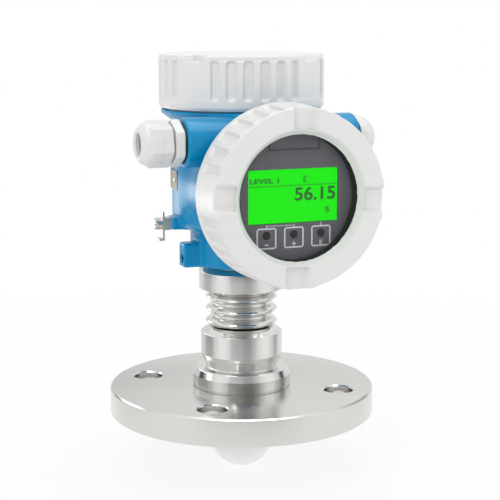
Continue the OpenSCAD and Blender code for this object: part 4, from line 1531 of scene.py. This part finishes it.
    def threads(self) -> None:
        """Winds the threads that the covers turn on."""
        seats = {
            "connection_spigot_thread": upright(self.at.rim + 1.2),
            "display_spigot_thread": self.at.front(self.at.rim_y - 1.2),
        }
        turns, pitch = 6.2, 2.0
        sizes = {
            "Turns": turns, "Radius": (self.root + 0.05) * MM, "Rise": turns * pitch * MM, "Crest": 0.5 * MM,
        }
        for name, place in seats.items():
            mesh = ScrewThread().run(bpy.data.meshes.new(name), BLUE, sizes)
            mesh.transform(scaled(place))
            mesh.shade_smooth()
            adopt(name, mesh, BLUE, self.body)


class CoverKind(Enum):
    """The two screwed covers."""

    BLIND = "connection_cover"
    WINDOW = "display_cover"


@dataclass
class ScrewCover:
    """A cast cover with grip ribs, smooth sectors and notches for a bar.

    Attributes:
        at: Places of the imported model.
        kind: Which cover it is.
        face_r: Radius over the smooth sectors.
        skirt_r: Radius over the ribs at the open end.
        groove: Depth of the grooves between the ribs.
        phase: Turn of the notches about the cover's axis, in degrees.
        ribs: Number of ribs in each of the four groups.
        rib_step: Angle from rib to rib, in degrees.
        rib_w: Width of a rib.
        smooth_half: Half the angle of a smooth sector, in degrees.
        band: Height of the plain band at the open end.
        depth: Height of the cover.
        notch_w: Width of a notch at the face.
        notch_h: Depth of a notch.
        notch_in: Distance of a notch's inner end from the axis.
        notch_draft: Lean of a notch's side walls.
        bore: Radius of the cover over its seal.
        thread: Radius of its threaded bore.
        inner: Radius of the bore above the thread.
        pane: Radius of the seat for the glass.
        window: Radius of the window.
    """

    at: Places
    kind: CoverKind
    face_r: float
    skirt_r: float
    groove: float = 2.0
    phase: float = 0.0
    ribs: int = 5
    rib_step: float = 11.4
    rib_w: float = 4.2
    smooth_half: float = 14.0
    band: float = 6.6
    depth: float = 32.2
    notch_w: float = 15.4
    notch_h: float = 3.6
    notch_in: float = 38.6
    notch_draft: float = 0.6
    bore: float = 46.7
    thread: float = 44.8
    inner: float = 41.0
    pane: float = 38.65
    window: float = 35.75

    def place(self) -> Matrix:
        """Gives the cover's place, with +Z from its open end to its face.

        Returns:
            The place.
        """
        spin = Matrix.Rotation(math.radians(self.phase), 4, "Z")
        if self.kind is CoverKind.BLIND:
            return upright(self.at.rim) @ spin
        return self.at.front(self.at.rim_y) @ spin

    def body(self) -> str:
        """Returns the body that the cover rides on."""
        return f"{self.kind.value}_cap"

    def side(self, z: float) -> float:
        """Gives the radius over the ribs.

        Args:
            z: Height above the open end.

        Returns:
            The radius in millimetres.
        """
        return self.skirt_r + (self.face_r - self.skirt_r) * z / self.depth

    def distance(self, points: np.ndarray) -> np.ndarray:
        """Gives the distance to the cover without its ribs.

        Args:
            points: Points in millimetres, in the cover's own frame.

        Returns:
            Signed distances in millimetres.
        """
        x, y, z = points.T
        r = np.hypot(x, y)
        top, band, blend = self.depth, self.band, 0.9
        # where two level faces join softly they rise by a quarter of the fillet
        lid = top - blend / 4
        core = profile_distance(
            r, z,
            [(CORE, 0), (self.skirt_r - 1.0, 0), (self.side(1.8), 1.8), (self.side(band - 0.6), band - 0.6),
             (self.side(band + 1.0) - self.groove, band + 1.0), (self.face_r - self.groove, top - 4.2),
             (self.face_r - 0.5, top - 3.0), (self.face_r - 0.5, lid), (CORE, lid)],
            0.8,
        )
        quarter = np.mod(np.arctan2(y, x) + math.pi / 4, math.pi / 2) - math.pi / 4
        u, v = r * np.cos(quarter), np.abs(r * np.sin(quarter))
        outer = profile_distance(
            r, z, [(CORE, 1), (self.side(1), 1), (self.face_r, lid), (CORE, lid)], 1.2
        )
        half = math.radians(self.smooth_half)
        flank = v * math.cos(half) - u * math.sin(half)
        cover = soft_join(core, soft_cut(outer, -flank, 0.7), blend)
        cover = soft_cut(cover, profile_distance(r, z, self.hollow(), 0.05), 0.7)
        lean = math.hypot(1.0, self.notch_draft)
        wall = (v - self.notch_w / 2 + (top - z) * self.notch_draft) / lean
        notch = np.maximum.reduce([wall, self.notch_in - u, top - self.notch_h - z])
        return soft_cut(cover, notch, 0.8)

    def hollow(self) -> list[tuple[float, float]]:
        """Draws the cover's inside: seal, thread, and the blind end or the window.

        Returns:
            The corners of its profile.
        """
        top, inner = self.depth, self.inner
        corners = [(CORE, -5), (self.bore, -5), (self.bore, 1.5), (self.thread, 1.5), (self.thread, 16.1),
                   (inner, 16.1)]
        if self.kind is CoverKind.BLIND:
            return [*corners, (inner, top - 5.0), (CORE, top - 5.0)]
        bevel = self.window + 3.25
        return [*corners, (inner, 20.8), (self.pane, 20.8), (self.pane, 27.2), (self.window, 27.2),
                (self.window, top - 4.6), (bevel, top), (bevel + 2.5, top + 3), (bevel + 2.5, top + 9),
                (CORE, top + 9)]

    def build(self) -> None:
        """Skins the cover and sets its ribs."""
        made = skinned(
            f"{self.kind.value}_cast", self.distance, drum(self.skirt_r, self.depth), (0.84, 1.2),
            self.place(), PALE, self.body(),
        )
        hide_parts(self.kind.value)
        self.grip()

    def grip(self) -> None:
        """Sets the rib round the cover in four groups."""
        made = RingOfCopies().run(
            self.rib(), PALE,
            {"Groups": 4, "Per Group": self.ribs, "Step": math.radians(self.rib_step),
             "Group Step": math.pi / 2, "Phase": math.pi / 4},
        )
        made.transform(scaled(self.place()))
        adopt(f"{self.kind.value}_grip_ribs", made, PALE, self.body())

    def rib(self) -> bpy.types.Mesh:
        """Makes one rib with soft flanks, which runs out into the band and the face.

        Returns:
            Its mesh, in the cover's own frame.
        """
        low, high = self.band - 3.6, self.depth - 2.0
        half = self.rib_w / 2
        across = np.linspace(-half - 2.6, half + 2.6, 33)
        along = np.concatenate(
            (np.linspace(low, self.band, 3), np.linspace(self.band + 0.3, self.band + 3.0, 8),
             np.linspace(self.band + 5, high - 5, 5), np.linspace(high - 4.4, high, 14))
        )
        y, z = np.meshgrid(across, along)
        # the flanks flare where a pocket between two ribs ends
        ends = np.minimum(z - self.band - 0.6, self.depth - 3.9 - z)
        wide = half + 0.9 * np.exp(-np.maximum(ends, 0.0) / 0.5)
        share = np.clip(0.5 - (np.abs(y) - wide) / 0.8, 0.0, 1.0)
        share = share * share * (3 - 2 * share) * np.clip((high - z) / 1.2, 0.0, 1.0)
        # the sheet lies 0.04 mm under the pocket's floor beside the rib
        r = self.side(z) - self.groove * (1 - share) - 0.04 + 0.02 * share
        back = np.full_like(r, self.face_r - self.groove - 1.4)
        front_points = np.stack((np.sqrt(r * r - y * y), y, z), -1).reshape(-1, 3)
        back_points = np.stack((back, y, z), -1).reshape(-1, 3)
        number = np.arange(r.size).reshape(r.shape)
        quads = np.stack((number[:-1, :-1], number[:-1, 1:], number[1:, 1:], number[1:, :-1]), -1)
        quads = quads.reshape(-1, 4)
        rim = np.concatenate((number[0], number[1:, -1], number[-1, -2::-1], number[-2:0:-1, 0]))
        sides = [(a, b, b + r.size, a + r.size) for a, b in zip(rim, np.roll(rim, -1))]
        faces = [*quads.tolist(), *(quads[:, ::-1] + r.size).tolist(), *sides]
        mesh = plain_mesh("rib", np.concatenate((front_points, back_points)) * MM, faces)
        settle(mesh)
        mesh.shade_smooth()
        return mesh


@dataclass
class DisplayModule:
    """The plug-in display: shell, lit screen, key fields and the grip tab.

    Attributes:
        at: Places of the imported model.
        screen_w: Width of the screen's opening.
        screen_h: Height of the screen's opening.
        key: Side of a key field.
        key_pitch: Distance from key to key.
        key_drop: Distance of the keys below the display axis.
        radius: Radius of the shell.
        depth: Depth of the shell.
        room: Radius of the room inside it.
        face: Height of the lit panel's front in the shell.
        tab_low: Lower edge of the grip tab, above the display axis.
        tab_half: Half its width there.
        tab_lean: How much its sides lean inwards.
        body: The body that it rides on.
    """

    at: Places
    screen_w: float = 55.0
    screen_h: float = 30.6
    key: float = 12.0
    key_pitch: float = 16.7
    key_drop: float = 23.0
    radius: float = 36.5
    depth: float = 10.0
    room: float = 34.5
    face: float = 8.4
    tab_low: float = 26.9
    tab_half: float = 15.6
    tab_lean: float = 0.12
    body: str = "display_module"

    def build(self) -> None:
        """Builds the display module."""
        self.shell()
        self.lenses()
        self.marks()
        self.figures()

    def shell_distance(self, points: np.ndarray) -> np.ndarray:
        """Gives the distance to the shell.

        Args:
            points: Points in millimetres, in the shell's own frame.

        Returns:
            Signed distances in millimetres.
        """
        x, y, z = points.T
        r, depth, lean = np.hypot(x, y), self.depth, self.tab_lean
        case = round_bar(r, z, self.radius, 0, depth, 0.5)
        case = soft_cut(case, round_bar(r, z, self.room, -5, 6.6, 0.2), 0.2)
        half, tall, middle = self.screen_w / 2, self.screen_h / 2, 0.4
        hole = box_distance(points, (-half, middle - tall, -5), (half, middle + tall, 20), 1.2)
        case = soft_cut(case, hole, 0.6)
        tab_side = (np.abs(x) - self.tab_half + (y - self.tab_low) * lean) / math.hypot(1, lean)
        outline = np.maximum(tab_side, self.tab_low - y)
        groove = np.maximum(np.abs(outline) - 0.4, depth - 0.8 - z)
        return np.maximum(case, -groove)

    def shell(self) -> None:
        """Skins the shell with its soft screen edge and tab groove."""
        made = skinned(
            "display_shell_moulded", self.shell_distance, drum(self.radius, self.depth), (0.6, 0.8),
            self.at.front(self.at.bezel_y + self.depth), SHELL, self.body,
        )
        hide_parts("display_shell")

    def lenses(self) -> None:
        """Sets the three round windows that the keys look through."""
        rim = 2.45
        profile = [(0, -1.0, 0), (rim - 0.15, -1.0, 0.1), (rim, 0.1, 0.1), (0, 0.12, 0)]
        points, faces, _ = revolved(profile, upright(), 48)
        disc = plain_mesh("key_lens", points, faces)
        disc.shade_smooth()
        low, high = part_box("key_lenses")
        drop = self.at.axis - (low[2] + high[2]) / 2 / MM
        made = RowOfCopies().run(
            disc, LENS,
            {"Count": 3, "Start": (-self.key_pitch * MM, -drop * MM, 0.0),
             "Step": (self.key_pitch * MM, 0.0, 0.0)},
        )
        made.transform(scaled(self.at.front(self.at.bezel_y)))
        discs = adopt("key_lens_discs", made, LENS, self.body)
        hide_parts("key_lenses")

    @staticmethod
    def flat(outlines: Sequence[Pairs], height: float) -> bpy.types.Mesh:
        """Makes flat plates of print from outlines, on the front face.

        Args:
            outlines: Corners of each plate, in millimetres on the face.
            height: How far the print stands in front of the face.

        Returns:
            The mesh, in place.
        """
        work = bmesh.new()
        for outline in outlines:
            corners = [work.verts.new((x * MM, y * MM, height * MM)) for x, y in outline]
            work.faces.new(corners)
        made = bmesh.ops.extrude_face_region(work, geom=work.faces[:])
        tops = [g for g in made["geom"] if isinstance(g, bmesh.types.BMVert)]
        bmesh.ops.translate(work, verts=tops, vec=(0, 0, 0.06 * MM))
        bmesh.ops.recalc_face_normals(work, faces=work.faces)
        return bmesh_to_mesh("print", work)

    def marks(self) -> None:
        """Prints the key fields, their signs and the ticks up to the screen."""
        h, w = self.key / 2, 0.8
        bars: list[Pairs] = []

        def bar(x0: float, y0: float, x1: float, y1: float) -> None:
            """Adds an upright rectangle from its lower left to its upper right corner."""
            bars.append([(x0, y0), (x1, y0), (x1, y1), (x0, y1)])

        y = -self.key_drop
        bar(-h + 1, y + h - w, h - 1, y + h)
        bar(-h + 1, y - h, h - 1, y - h + w)
        bar(-h, y - h + 1, -h + w, y + h - 1)
        bar(h - w, y - h + 1, h, y + h - 1)
        for sx in (-1, 1):
            for sy in (-1, 1):
                bars.append(
                    [(sx * (h - 1), y + sy * h), (sx * h, y + sy * (h - 1)),
                     (sx * (h - w), y + sy * (h - 1)), (sx * (h - 1), y + sy * (h - w))]
                )
        field_mesh = self.flat(bars, 0.02)
        fields = RowOfCopies().run(
            field_mesh, PRINT,
            {"Count": 3, "Start": (-self.key_pitch * MM, 0.0, 0.0), "Step": (self.key_pitch * MM, 0.0, 0.0)},
        )
        bars.clear()
        for i in (-1, 0, 1):
            bar(i * self.key_pitch - 0.25, y + h, i * self.key_pitch + 0.25, y + h + 1.7)
        sign_y, p = y - 3.6, self.key_pitch
        bar(-p - 1.1, sign_y - 0.3, -p + 1.1, sign_y + 0.3)
        bar(-1.2, sign_y - 0.3, 1.2, sign_y + 0.3)
        bar(-0.3, sign_y - 1.2, 0.3, sign_y + 1.2)
        bar(p - 0.8, sign_y - 1.2, p - 0.3, sign_y + 1.2)
        for k in (-1, 0, 1):
            bar(p - 0.4, sign_y + k - 0.2, p + 0.9, sign_y + k + 0.2)
        bar(-p, y + h + 0.9, -0.9, y + h + 1.2)
        signs = self.flat(bars, 0.02)
        place = scaled(self.at.front(self.at.bezel_y))
        for name, mesh in (("key_field_print", fields), ("key_sign_print", signs)):
            mesh.transform(place)
            adopt(name, mesh, PRINT, self.body)

    def figures(self) -> None:
        """Sets the reading and its unit on the screen, as plain generic figures."""
        level = self.face
        place = scaled(self.at.front(self.at.bezel_y + self.depth))
        texts = (
            ("reading_figures", "56.15", (1.0, -2.6, 26.2, 5.2), 0.025),
            ("unit_sign", "%", (19.6, -10.0, 22.8, -6.6), 0.02),
            ("screen_heading", "LEVEL 1", (-26.2, 7.9, -8.6, 10.7), 0.03),
        )
        for name, words, (x0, y0, x1, y1), bold in texts:
            curve = bpy.data.curves.new(name, "FONT")
            curve.body, curve.size, curve.offset, curve.extrude = words, 1.0, bold, 0.003
            mesh = baked(linked(name, curve))
            # the text is stretched to fill its place
            spots = np.array([v.co for v in mesh.vertices])
            low, high = spots.min(0), spots.max(0)
            wide, tall = (x1 - x0) / (high[0] - low[0]), (y1 - y0) / (high[1] - low[1])
            size = Matrix.Diagonal((wide * MM, tall * MM, 10.0 * MM, 1.0))
            shift = Matrix.Translation((x0 * MM, y0 * MM, (level + 0.04) * MM))
            mesh.transform(place @ shift @ size @ Matrix.Translation((-low[0], -low[1], 0.0)))
            adopt(name, mesh, LCD_INK, self.body)
        lines = [(-27.0, 6.1, 27.0, 6.5), (6.4, 7.9, 7.1, 11.3), (6.4, 10.7, 8.8, 11.3), (6.4, 7.9, 8.8, 8.5)]
        outlines = [[(x0, y0), (x1, y0), (x1, y1), (x0, y1)] for x0, y0, x1, y1 in lines]
        ruled = self.flat(outlines, level + 0.02)
        ruled.transform(place)
        adopt("screen_rule", ruled, LCD_INK, self.body)


@dataclass
class CableEntries:
    """The cable gland on one side and the blind plug on the other.

    Attributes:
        at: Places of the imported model.
        across: Size of the hexagons across flats.
        seat: How deep the threads sit in the entry boss.
        gasket: Height of the gaskets under the hexagons.
        hex_l: Length of the gland body's hexagon.
        gap: Gap between that hexagon and the nut.
        stem: Length of the thread that the nut turns on.
        thread: Radius of the threads in the boss.
        nut_l: Length of the nut.
        nut_turn: Turn of the nut in degrees.
        dome_r: Radius of the nut's dome.
        dome_bend: Rounding of that dome.
        plug_l: Length of the plug's head.
        socket: Size of the plug's hexagonal socket.
    """

    at: Places
    across: float = 24.0
    seat: float = 10.0
    gasket: float = 1.4
    hex_l: float = 5.5
    gap: float = 1.2
    stem: float = 11.0
    thread: float = 9.9
    nut_l: float = 18.7
    nut_turn: float = 12.0
    dome_r: float = 12.4
    dome_bend: float = 6.4
    plug_l: float = 11.9
    socket: float = 8.0

    @property
    def corner(self) -> float:
        """Radius over the corners of a hexagon."""
        return self.across / 2 / math.cos(math.radians(30))

    def build(self) -> None:
        """Builds the gland's body and nut, and the plug."""
        at, base = self.at, self.seat + self.gasket
        thread_end = at.boss - self.seat
        nut_end = at.boss + self.gasket + self.hex_l + self.gap
        self.shaped(
            "gland_body_moulded", self.gland_body, at.sideways(-thread_end), "gland_body",
            "housing_side", base + self.hex_l + self.stem,
        )
        self.shaped(
            "gland_nut_moulded", self.gland_nut, at.sideways(-nut_end), "gland_nut", "gland_cap", self.nut_l
        )
        self.shaped(
            "blind_plug_moulded", self.plug, at.sideways(thread_end), "blind_plug", "housing_side",
            base + self.plug_l,
        )

    def shaped(self, name: str, rule: Distance, place: Matrix, node: str, body: str, length: float) -> None:
        """Skins one piece and hides its plain solid.

        Args:
            name: The piece's name.
            rule: Distance in the piece's own frame.
            place: Its place.
            node: The solid that it stands for.
            body: The body that it rides on.
            length: Its length.
        """
        made = skinned(name, rule, drum(self.corner, length), (0.46, 0.6), place, POLYAMIDE, body)
        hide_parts(node)

    def bar(self, points: np.ndarray, low: float, high: float) -> np.ndarray:
        """Gives the distance to a hexagon with eased ends.

        Args:
            points: Points in millimetres, in the piece's own frame.
            low: Height of its lower end.
            high: Height of its upper end.

        Returns:
            Signed distances in millimetres.
        """
        x, y, z = points.T
        corner, ease = self.corner, 0.9
        ends = profile_distance(
            np.hypot(x, y), z,
            [(CORE, low), (corner - ease, low), (corner, low + ease), (corner, high - ease),
             (corner - ease, high), (CORE, high)],
            0.1,
        )
        return -soft_join(-hexagon_distance(y, x, self.across), -ends, 0.35)

    def gland_body(self, points: np.ndarray) -> np.ndarray:
        """Gives the distance to the gland's body.

        Args:
            points: Points in millimetres, in its own frame.

        Returns:
            Signed distances in millimetres.
        """
        r, z = np.hypot(points[:, 0], points[:, 1]), points[:, 2]
        base, thread = self.seat + self.gasket, self.thread
        face = base + self.hex_l
        stem = profile_distance(
            r, z,
            [(CORE, 0), (thread, 0), (thread, base), (thread - 0.9, base), (thread - 0.9, face + self.stem),
             (CORE, face + self.stem)],
            0.3,
        )
        body = np.minimum(stem, self.bar(points, base, face))
        bore = profile_distance(
            r, z, [(CORE, -5), (5.5, -5), (5.5, face - 1), (7.3, face - 1), (7.3, 60), (CORE, 60)], 0.05
        )
        return soft_cut(body, bore, 0.3)

    def gland_nut(self, points: np.ndarray) -> np.ndarray:
        """Gives the distance to the gland's nut.

        Args:
            points: Points in millimetres, in its own frame.

        Returns:
            Signed distances in millimetres.
        """
        spin = Matrix.Rotation(-math.radians(self.nut_turn), 3, "Z")
        x, y, z = (points @ np.array(spin).T).T
        r, corner, length = np.hypot(x, y), self.corner, self.nut_l
        dome_r, bend, flats = self.dome_r, self.dome_bend, self.nut_l - 6.2
        arc = [(dome_r - bend + bend * math.cos(a), length - bend + bend * math.sin(a))
               for a in np.radians(np.linspace(0, 86, 8))]
        turned = profile_distance(
            r, z,
            [(CORE, 0), (corner - 0.9, 0), (corner, 0.9), (corner, flats), (dome_r - 0.6, flats + 1.6),
             (CORE, flats + 1.6)],
            0.2,
        )
        bar = -soft_join(-hexagon_distance(y, x, self.across), -turned, 0.4)
        dome = profile_distance(r, z, [(CORE, 6), (dome_r, 6), *arc, (CORE, length)], 0.3)
        bore = profile_distance(
            r, z,
            [(CORE, -5), (9.3, -5), (9.3, length - 4.2), (6.5, length - 4.2), (6.5, length - 1.4),
             (7.8, length), (9.8, length + 3), (CORE, length + 3)],
            0.05,
        )
        return soft_cut(soft_join(bar, dome, 0.3), bore, 0.5)

    def plug(self, points: np.ndarray) -> np.ndarray:
        """Gives the distance to the blind plug.

        Args:
            points: Points in millimetres, in its own frame.

        Returns:
            Signed distances in millimetres.
        """
        x, y, z = points.T
        r, base = np.hypot(x, y), self.seat + self.gasket
        top = base + self.plug_l
        stem = round_bar(r, z, self.thread, 0, base + 1, 0.3)
        ball = np.sqrt(r * r + (z - base - 0.3) ** 2) - 13.2
        ends = np.maximum(base - z, z - top)
        head = -soft_join(-soft_cut(ball, -ends, 0.8), -hexagon_distance(y, x, self.across), 0.5)
        socket = np.maximum(hexagon_distance(y, x, self.socket), top - 4 - z)
        return soft_cut(np.minimum(stem, head), socket, 0.4)


@dataclass
class PlainNodes:
    """Finishes of the solids that keep their own shape.

    Attributes:
        table: Node name to finish.
    """

    table: dict[str, Finish] = field(
        default_factory=lambda: {
            "antenna_seal": RUBBER, "feed_window": FLUOROPOLYMER, "waveguide": BRASS, "neck_seal": RUBBER,
            "neck_retaining_ring": DARK_STEEL, "compartment_feedthrough": BLACK_POLYMER,
            "electronics_module": BOARD, "display_holder": BLACK_POLYMER, "terminal_block": BLACK_POLYMER,
            "terminal_screws": SCREW, "connection_cover_seal": PALE_RUBBER, "display_cover_seal": PALE_RUBBER,
            "window_glass": GLASS, "glass_retainer": RUBBER, "screen_panel": LCD,
            "display_board": BOARD, "gland_gasket": RUBBER, "gland_seal": GREY_RUBBER, "gland_washer": BRASS,
            "plug_gasket": RUBBER, "ground_clamp": SHEET, "ground_screw": SCREW, "locking_screw": DARK_STEEL,
            "cover_lock": SHEET, "cover_lock_screw": SCREW, "nameplate": PLATE, "nameplate_rivets": SCREW,
        }
    )

    def dress(self, nodes: dict[str, bpy.types.Object]) -> None:
        """Gives each solid its finish.

        Args:
            nodes: Node name to object.
        """
        for name, finish in self.table.items():
            for slot in nodes[name].material_slots:
                slot.material = finish.material()
            LOG.info("%s: %s", name, finish.name)


@dataclass
class Studio:
    """Floor, soft light and camera.

    Attributes:
        eye: The camera's place in millimetres.
        look: Its direction.
        lens: Focal length on a 36 mm wide sensor.
        ambient: Strength of the even light from all round.
        ring_r: Radius of the grey card ring in metres.
        ring_h: Its height.
        levels: Angle round the ring in degrees, from the camera, to its brightness.
        contrast: Height on the ring in millimetres to the power that the brightness is raised to.
        shine_angle: Angle to the strength of the bright patch.
        shine_height: Height to the strength of the bright patch.
        shine: What the patch adds at its middle.
        card_glow: Strength of the overhead card.
    """

    eye: tuple[float, float, float] = (-306.3, -796.4, 251.5)
    look: tuple[float, float, float] = (0.35935, 0.91705, -0.17289)
    lens: float = 100.19
    ambient: float = 0.72
    ring_r: float = 0.2
    ring_h: float = 0.24
    levels: Pairs = (
        (-180.0, 0.9), (-128.0, 0.8), (-106.0, 0.46), (-89.0, 0.46), (-74.0, 0.85), (-60.0, 1.08),
        (-47.0, 1.1), (-35.0, 0.96), (-23.0, 0.62), (-11.5, 0.54), (0.0, 0.5), (11.5, 0.38),
        (23.0, 0.4), (35.0, 0.62), (47.0, 0.92), (60.0, 1.08), (74.0, 1.08), (89.0, 0.86),
        (106.0, 0.5), (128.0, 0.95), (180.0, 0.9),
    )
    contrast: Pairs = (
        (-36.0, 0.05), (-20.0, 0.1), (-8.0, 0.8), (6.0, 0.95), (14.0, 1.0), (20.0, 1.4), (34.0, 1.4),
        (42.0, 0.55), (53.0, 0.6), (59.0, 3.4), (66.0, 3.4), (78.0, 1.0), (150.0, 0.8), (200.0, 0.0),
    )
    shine_angle: Pairs = ((-145.0, 0.0), (-120.0, 1.0), (-90.0, 1.0), (-68.0, 0.0))
    shine_height: Pairs = ((78.0, 0.0), (98.0, 1.0), (122.0, 1.0), (142.0, 0.0))
    shine: float = 3.0
    card_glow: float = 4.5

    def build(self) -> None:
        """Builds the floor, lights, world and camera."""
        bpy.context.scene.view_settings.view_transform = "Standard"
        self.camera()
        self.floor()
        self.world()
        self.reflector()
        self.overhead()
        self.lamps()

    def camera(self) -> None:
        """Sets a long lens in front of the object and a little to its left."""
        data = bpy.data.cameras.new("camera")
        data.lens, data.sensor_width, data.clip_end = self.lens, 36.0, 50.0
        made = linked("camera", data)
        made.location = Vector(self.eye) * MM
        made.rotation_euler = Vector(self.look).to_track_quat("-Z", "Y").to_euler()
        bpy.context.scene.camera = made

    def floor(self) -> None:
        """Lays a pale floor that fades to white far from the object."""
        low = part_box("antenna_dome")[0][2]
        work = bmesh.new()
        bmesh.ops.create_circle(work, cap_ends=True, segments=96, radius=4.0)
        mesh = bmesh_to_mesh("floor", work)
        mesh.transform(Matrix.Translation((0, 0, low)))
        made = linked("floor", mesh)
        paper, tree = new_material("paper_backdrop_white")
        place = add_node(tree, "ShaderNodeTexCoord")
        reach = add_node(tree, "ShaderNodeVectorMath", {0: place.outputs["Object"]}, operation="LENGTH")
        fade = add_node(
            tree,
            "ShaderNodeMapRange",
            {"Value": reach.outputs["Value"], "From Min": 0.1, "From Max": 0.6, "To Min": 0.84},
        )
        matt = add_node(
            tree,
            "ShaderNodeBsdfPrincipled",
            {"Base Color": linear("#F4F4F4"), "Roughness": 0.9, "Specular IOR Level": 0.1},
        )
        white = add_node(tree, "ShaderNodeEmission", {"Color": (1, 1, 1, 1), "Strength": 1.0})
        both = add_node(tree, "ShaderNodeMixShader", {0: fade, 1: matt, 2: white})
        add_node(tree, "ShaderNodeOutputMaterial", {"Surface": both})
        mesh.materials.append(paper)

    def world(self) -> None:
        """Lights the scene evenly, and shows white behind the object and in its gloss."""
        world = bpy.data.worlds.new("studio")
        bpy.context.scene.world = world
        world.use_nodes = True
        tree = world.node_tree
        tree.nodes.clear()
        rays = add_node(tree, "ShaderNodeLightPath").outputs
        pair = {0: rays["Is Camera Ray"], 1: rays["Is Glossy Ray"]}
        seen = add_node(tree, "ShaderNodeMath", pair, operation="MAXIMUM")
        clear = add_node(
            tree, "ShaderNodeMath", {0: seen, 1: rays["Is Transmission Ray"]}, operation="MAXIMUM"
        )
        strength = add_node(
            tree, "ShaderNodeMapRange", {"Value": clear, "To Min": self.ambient, "To Max": 1.0}
        )
        back = add_node(tree, "ShaderNodeBackground", {"Color": (1, 1, 1, 1), "Strength": strength})
        add_node(tree, "ShaderNodeOutputWorld", {"Surface": back})

    @staticmethod
    def curve(tree: bpy.types.NodeTree, value: Any, knots: Pairs) -> Any:
        """Turns a number into another one along a curve through knots.

        Args:
            tree: The tree.
            value: The node or socket with the number.
            knots: Pairs of the number and what it becomes.

        Returns:
            The node with the result.
        """
        start, end = knots[0][0], knots[-1][0]
        top = max(v for _, v in knots)
        share = add_node(
            tree, "ShaderNodeMapRange", {"Value": value, "From Min": start, "From Max": end}
        )
        # a ramp's colours end at 1, so it holds shares of the highest knot
        ramp = add_node(tree, "ShaderNodeValToRGB", {"Fac": share})
        ramp.color_ramp.interpolation = "EASE"
        stops = ramp.color_ramp.elements
        stops[1].position = 1.0
        for spot, _ in knots[1:-1]:
            stops.new((spot - start) / (end - start))
        for stop, (_, height) in zip(stops, knots):
            grey = height / top
            stop.color = (grey, grey, grey, 1.0)
        return add_node(tree, "ShaderNodeMath", {0: ramp, 1: top}, operation="MULTIPLY")

    @staticmethod
    def card(mesh: bpy.types.Mesh, name: str, turn: float = 0.0) -> bpy.types.NodeTree:
        """Hangs a card that only gloss sees.

        Args:
            mesh: The card's mesh.
            name: Its material's name.
            turn: Its turn about the upright axis.

        Returns:
            The tree of its material, still empty.
        """
        made = linked(mesh.name, mesh)
        made.rotation_euler = (0.0, 0.0, turn)
        made.visible_camera = made.visible_diffuse = False
        made.visible_shadow = made.visible_transmission = False
        paint, tree = new_material(name)
        mesh.materials.append(paint)
        return tree

    def overhead(self) -> None:
        """Hangs a light card over the object, which only gloss sees as the highlight on upper edges."""
        work = bmesh.new()
        bmesh.ops.create_grid(work, x_segments=1, y_segments=1, size=0.28)
        mesh = bmesh_to_mesh("overhead_card", work)
        mesh.transform(Matrix.Translation((0.0, -0.1, 0.7)))
        tree = self.card(mesh, "card_lit_white")
        glow = add_node(tree, "ShaderNodeEmission", {"Color": (1, 1, 1, 1), "Strength": self.card_glow})
        add_node(tree, "ShaderNodeOutputMaterial", {"Surface": glow})

    def reflector(self) -> None:
        """Stands a ring of grey card round the object, which only polished surfaces see as upright bands."""
        facing = math.atan2(-self.look[1], -self.look[0])
        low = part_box("antenna_dome")[0][2] + 0.001
        spots = [
            (self.ring_r * math.cos(a), self.ring_r * math.sin(a), z)
            for z in (low, low + self.ring_h) for a in np.radians(np.arange(0, 360, 3))
        ]
        n = len(spots) // 2
        faces = [(i, (i + 1) % n, n + (i + 1) % n, n + i) for i in range(n)]
        tree = self.card(plain_mesh("grey_card_ring", spots, faces), "card_graded_grey", facing)
        place = add_node(tree, "ShaderNodeTexCoord")
        x, y, z = add_node(tree, "ShaderNodeSeparateXYZ", {"Vector": place.outputs["Object"]}).outputs
        angle = add_node(tree, "ShaderNodeMath", {0: y, 1: x}, operation="ARCTAN2")
        level = self.curve(tree, angle, [(math.radians(d), v) for d, v in self.levels])
        power = self.curve(tree, z, [(h * MM, v) for h, v in self.contrast])
        grey = add_node(tree, "ShaderNodeMath", {0: level, 1: power}, operation="POWER")
        round_way = self.curve(tree, angle, [(math.radians(d), v) for d, v in self.shine_angle])
        up_way = self.curve(tree, z, [(h * MM, v) for h, v in self.shine_height])
        patch = add_node(tree, "ShaderNodeMath", {0: round_way, 1: up_way}, operation="MULTIPLY")
        terms = {0: patch, 1: self.shine, 2: grey}
        blend = add_node(tree, "ShaderNodeMath", terms, operation="MULTIPLY_ADD")
        glow = add_node(tree, "ShaderNodeEmission", {"Color": (1, 1, 1, 1), "Strength": blend})
        add_node(tree, "ShaderNodeOutputMaterial", {"Surface": glow})

    def lamps(self) -> None:
        """Hangs the soft boxes."""
        boxes = (
            ("key_softbox", (-0.9, -0.9, 0.9), 0.9, 5.0),
            ("fill_softbox", (1.2, -0.5, 0.5), 0.8, 3.0),
            ("top_softbox", (0.1, 0.1, 1.5), 1.2, 5.0),
        )
        for name, spot, size, watts in boxes:
            data = bpy.data.lights.new(name, "AREA")
            data.shape, data.size, data.energy = "SQUARE", size, watts
            made = linked(name, data)
            made.location = spot
            made.rotation_euler = (Vector((0, 0, 0.1)) - Vector(spot)).to_track_quat("-Z", "Y").to_euler()


def main() -> None:
    """Builds every sub-assembly in order."""
    logging.basicConfig(level=logging.INFO, format="%(name)s: %(message)s")
    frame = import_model()
    at = Places.read()
    Studio().build()
    PlainNodes().dress(frame["nodes"])
    ProcessSide(at).build()
    HousingCasting(at).build()
    ScrewCover(at, CoverKind.BLIND, face_r=50.3, skirt_r=50.3, phase=34.5).build()
    ScrewCover(at, CoverKind.WINDOW, face_r=51.2, skirt_r=52.1, phase=-3.0).build()
    DisplayModule(at).build()
    CableEntries(at).build()


if __name__ == "__main__":
    main()
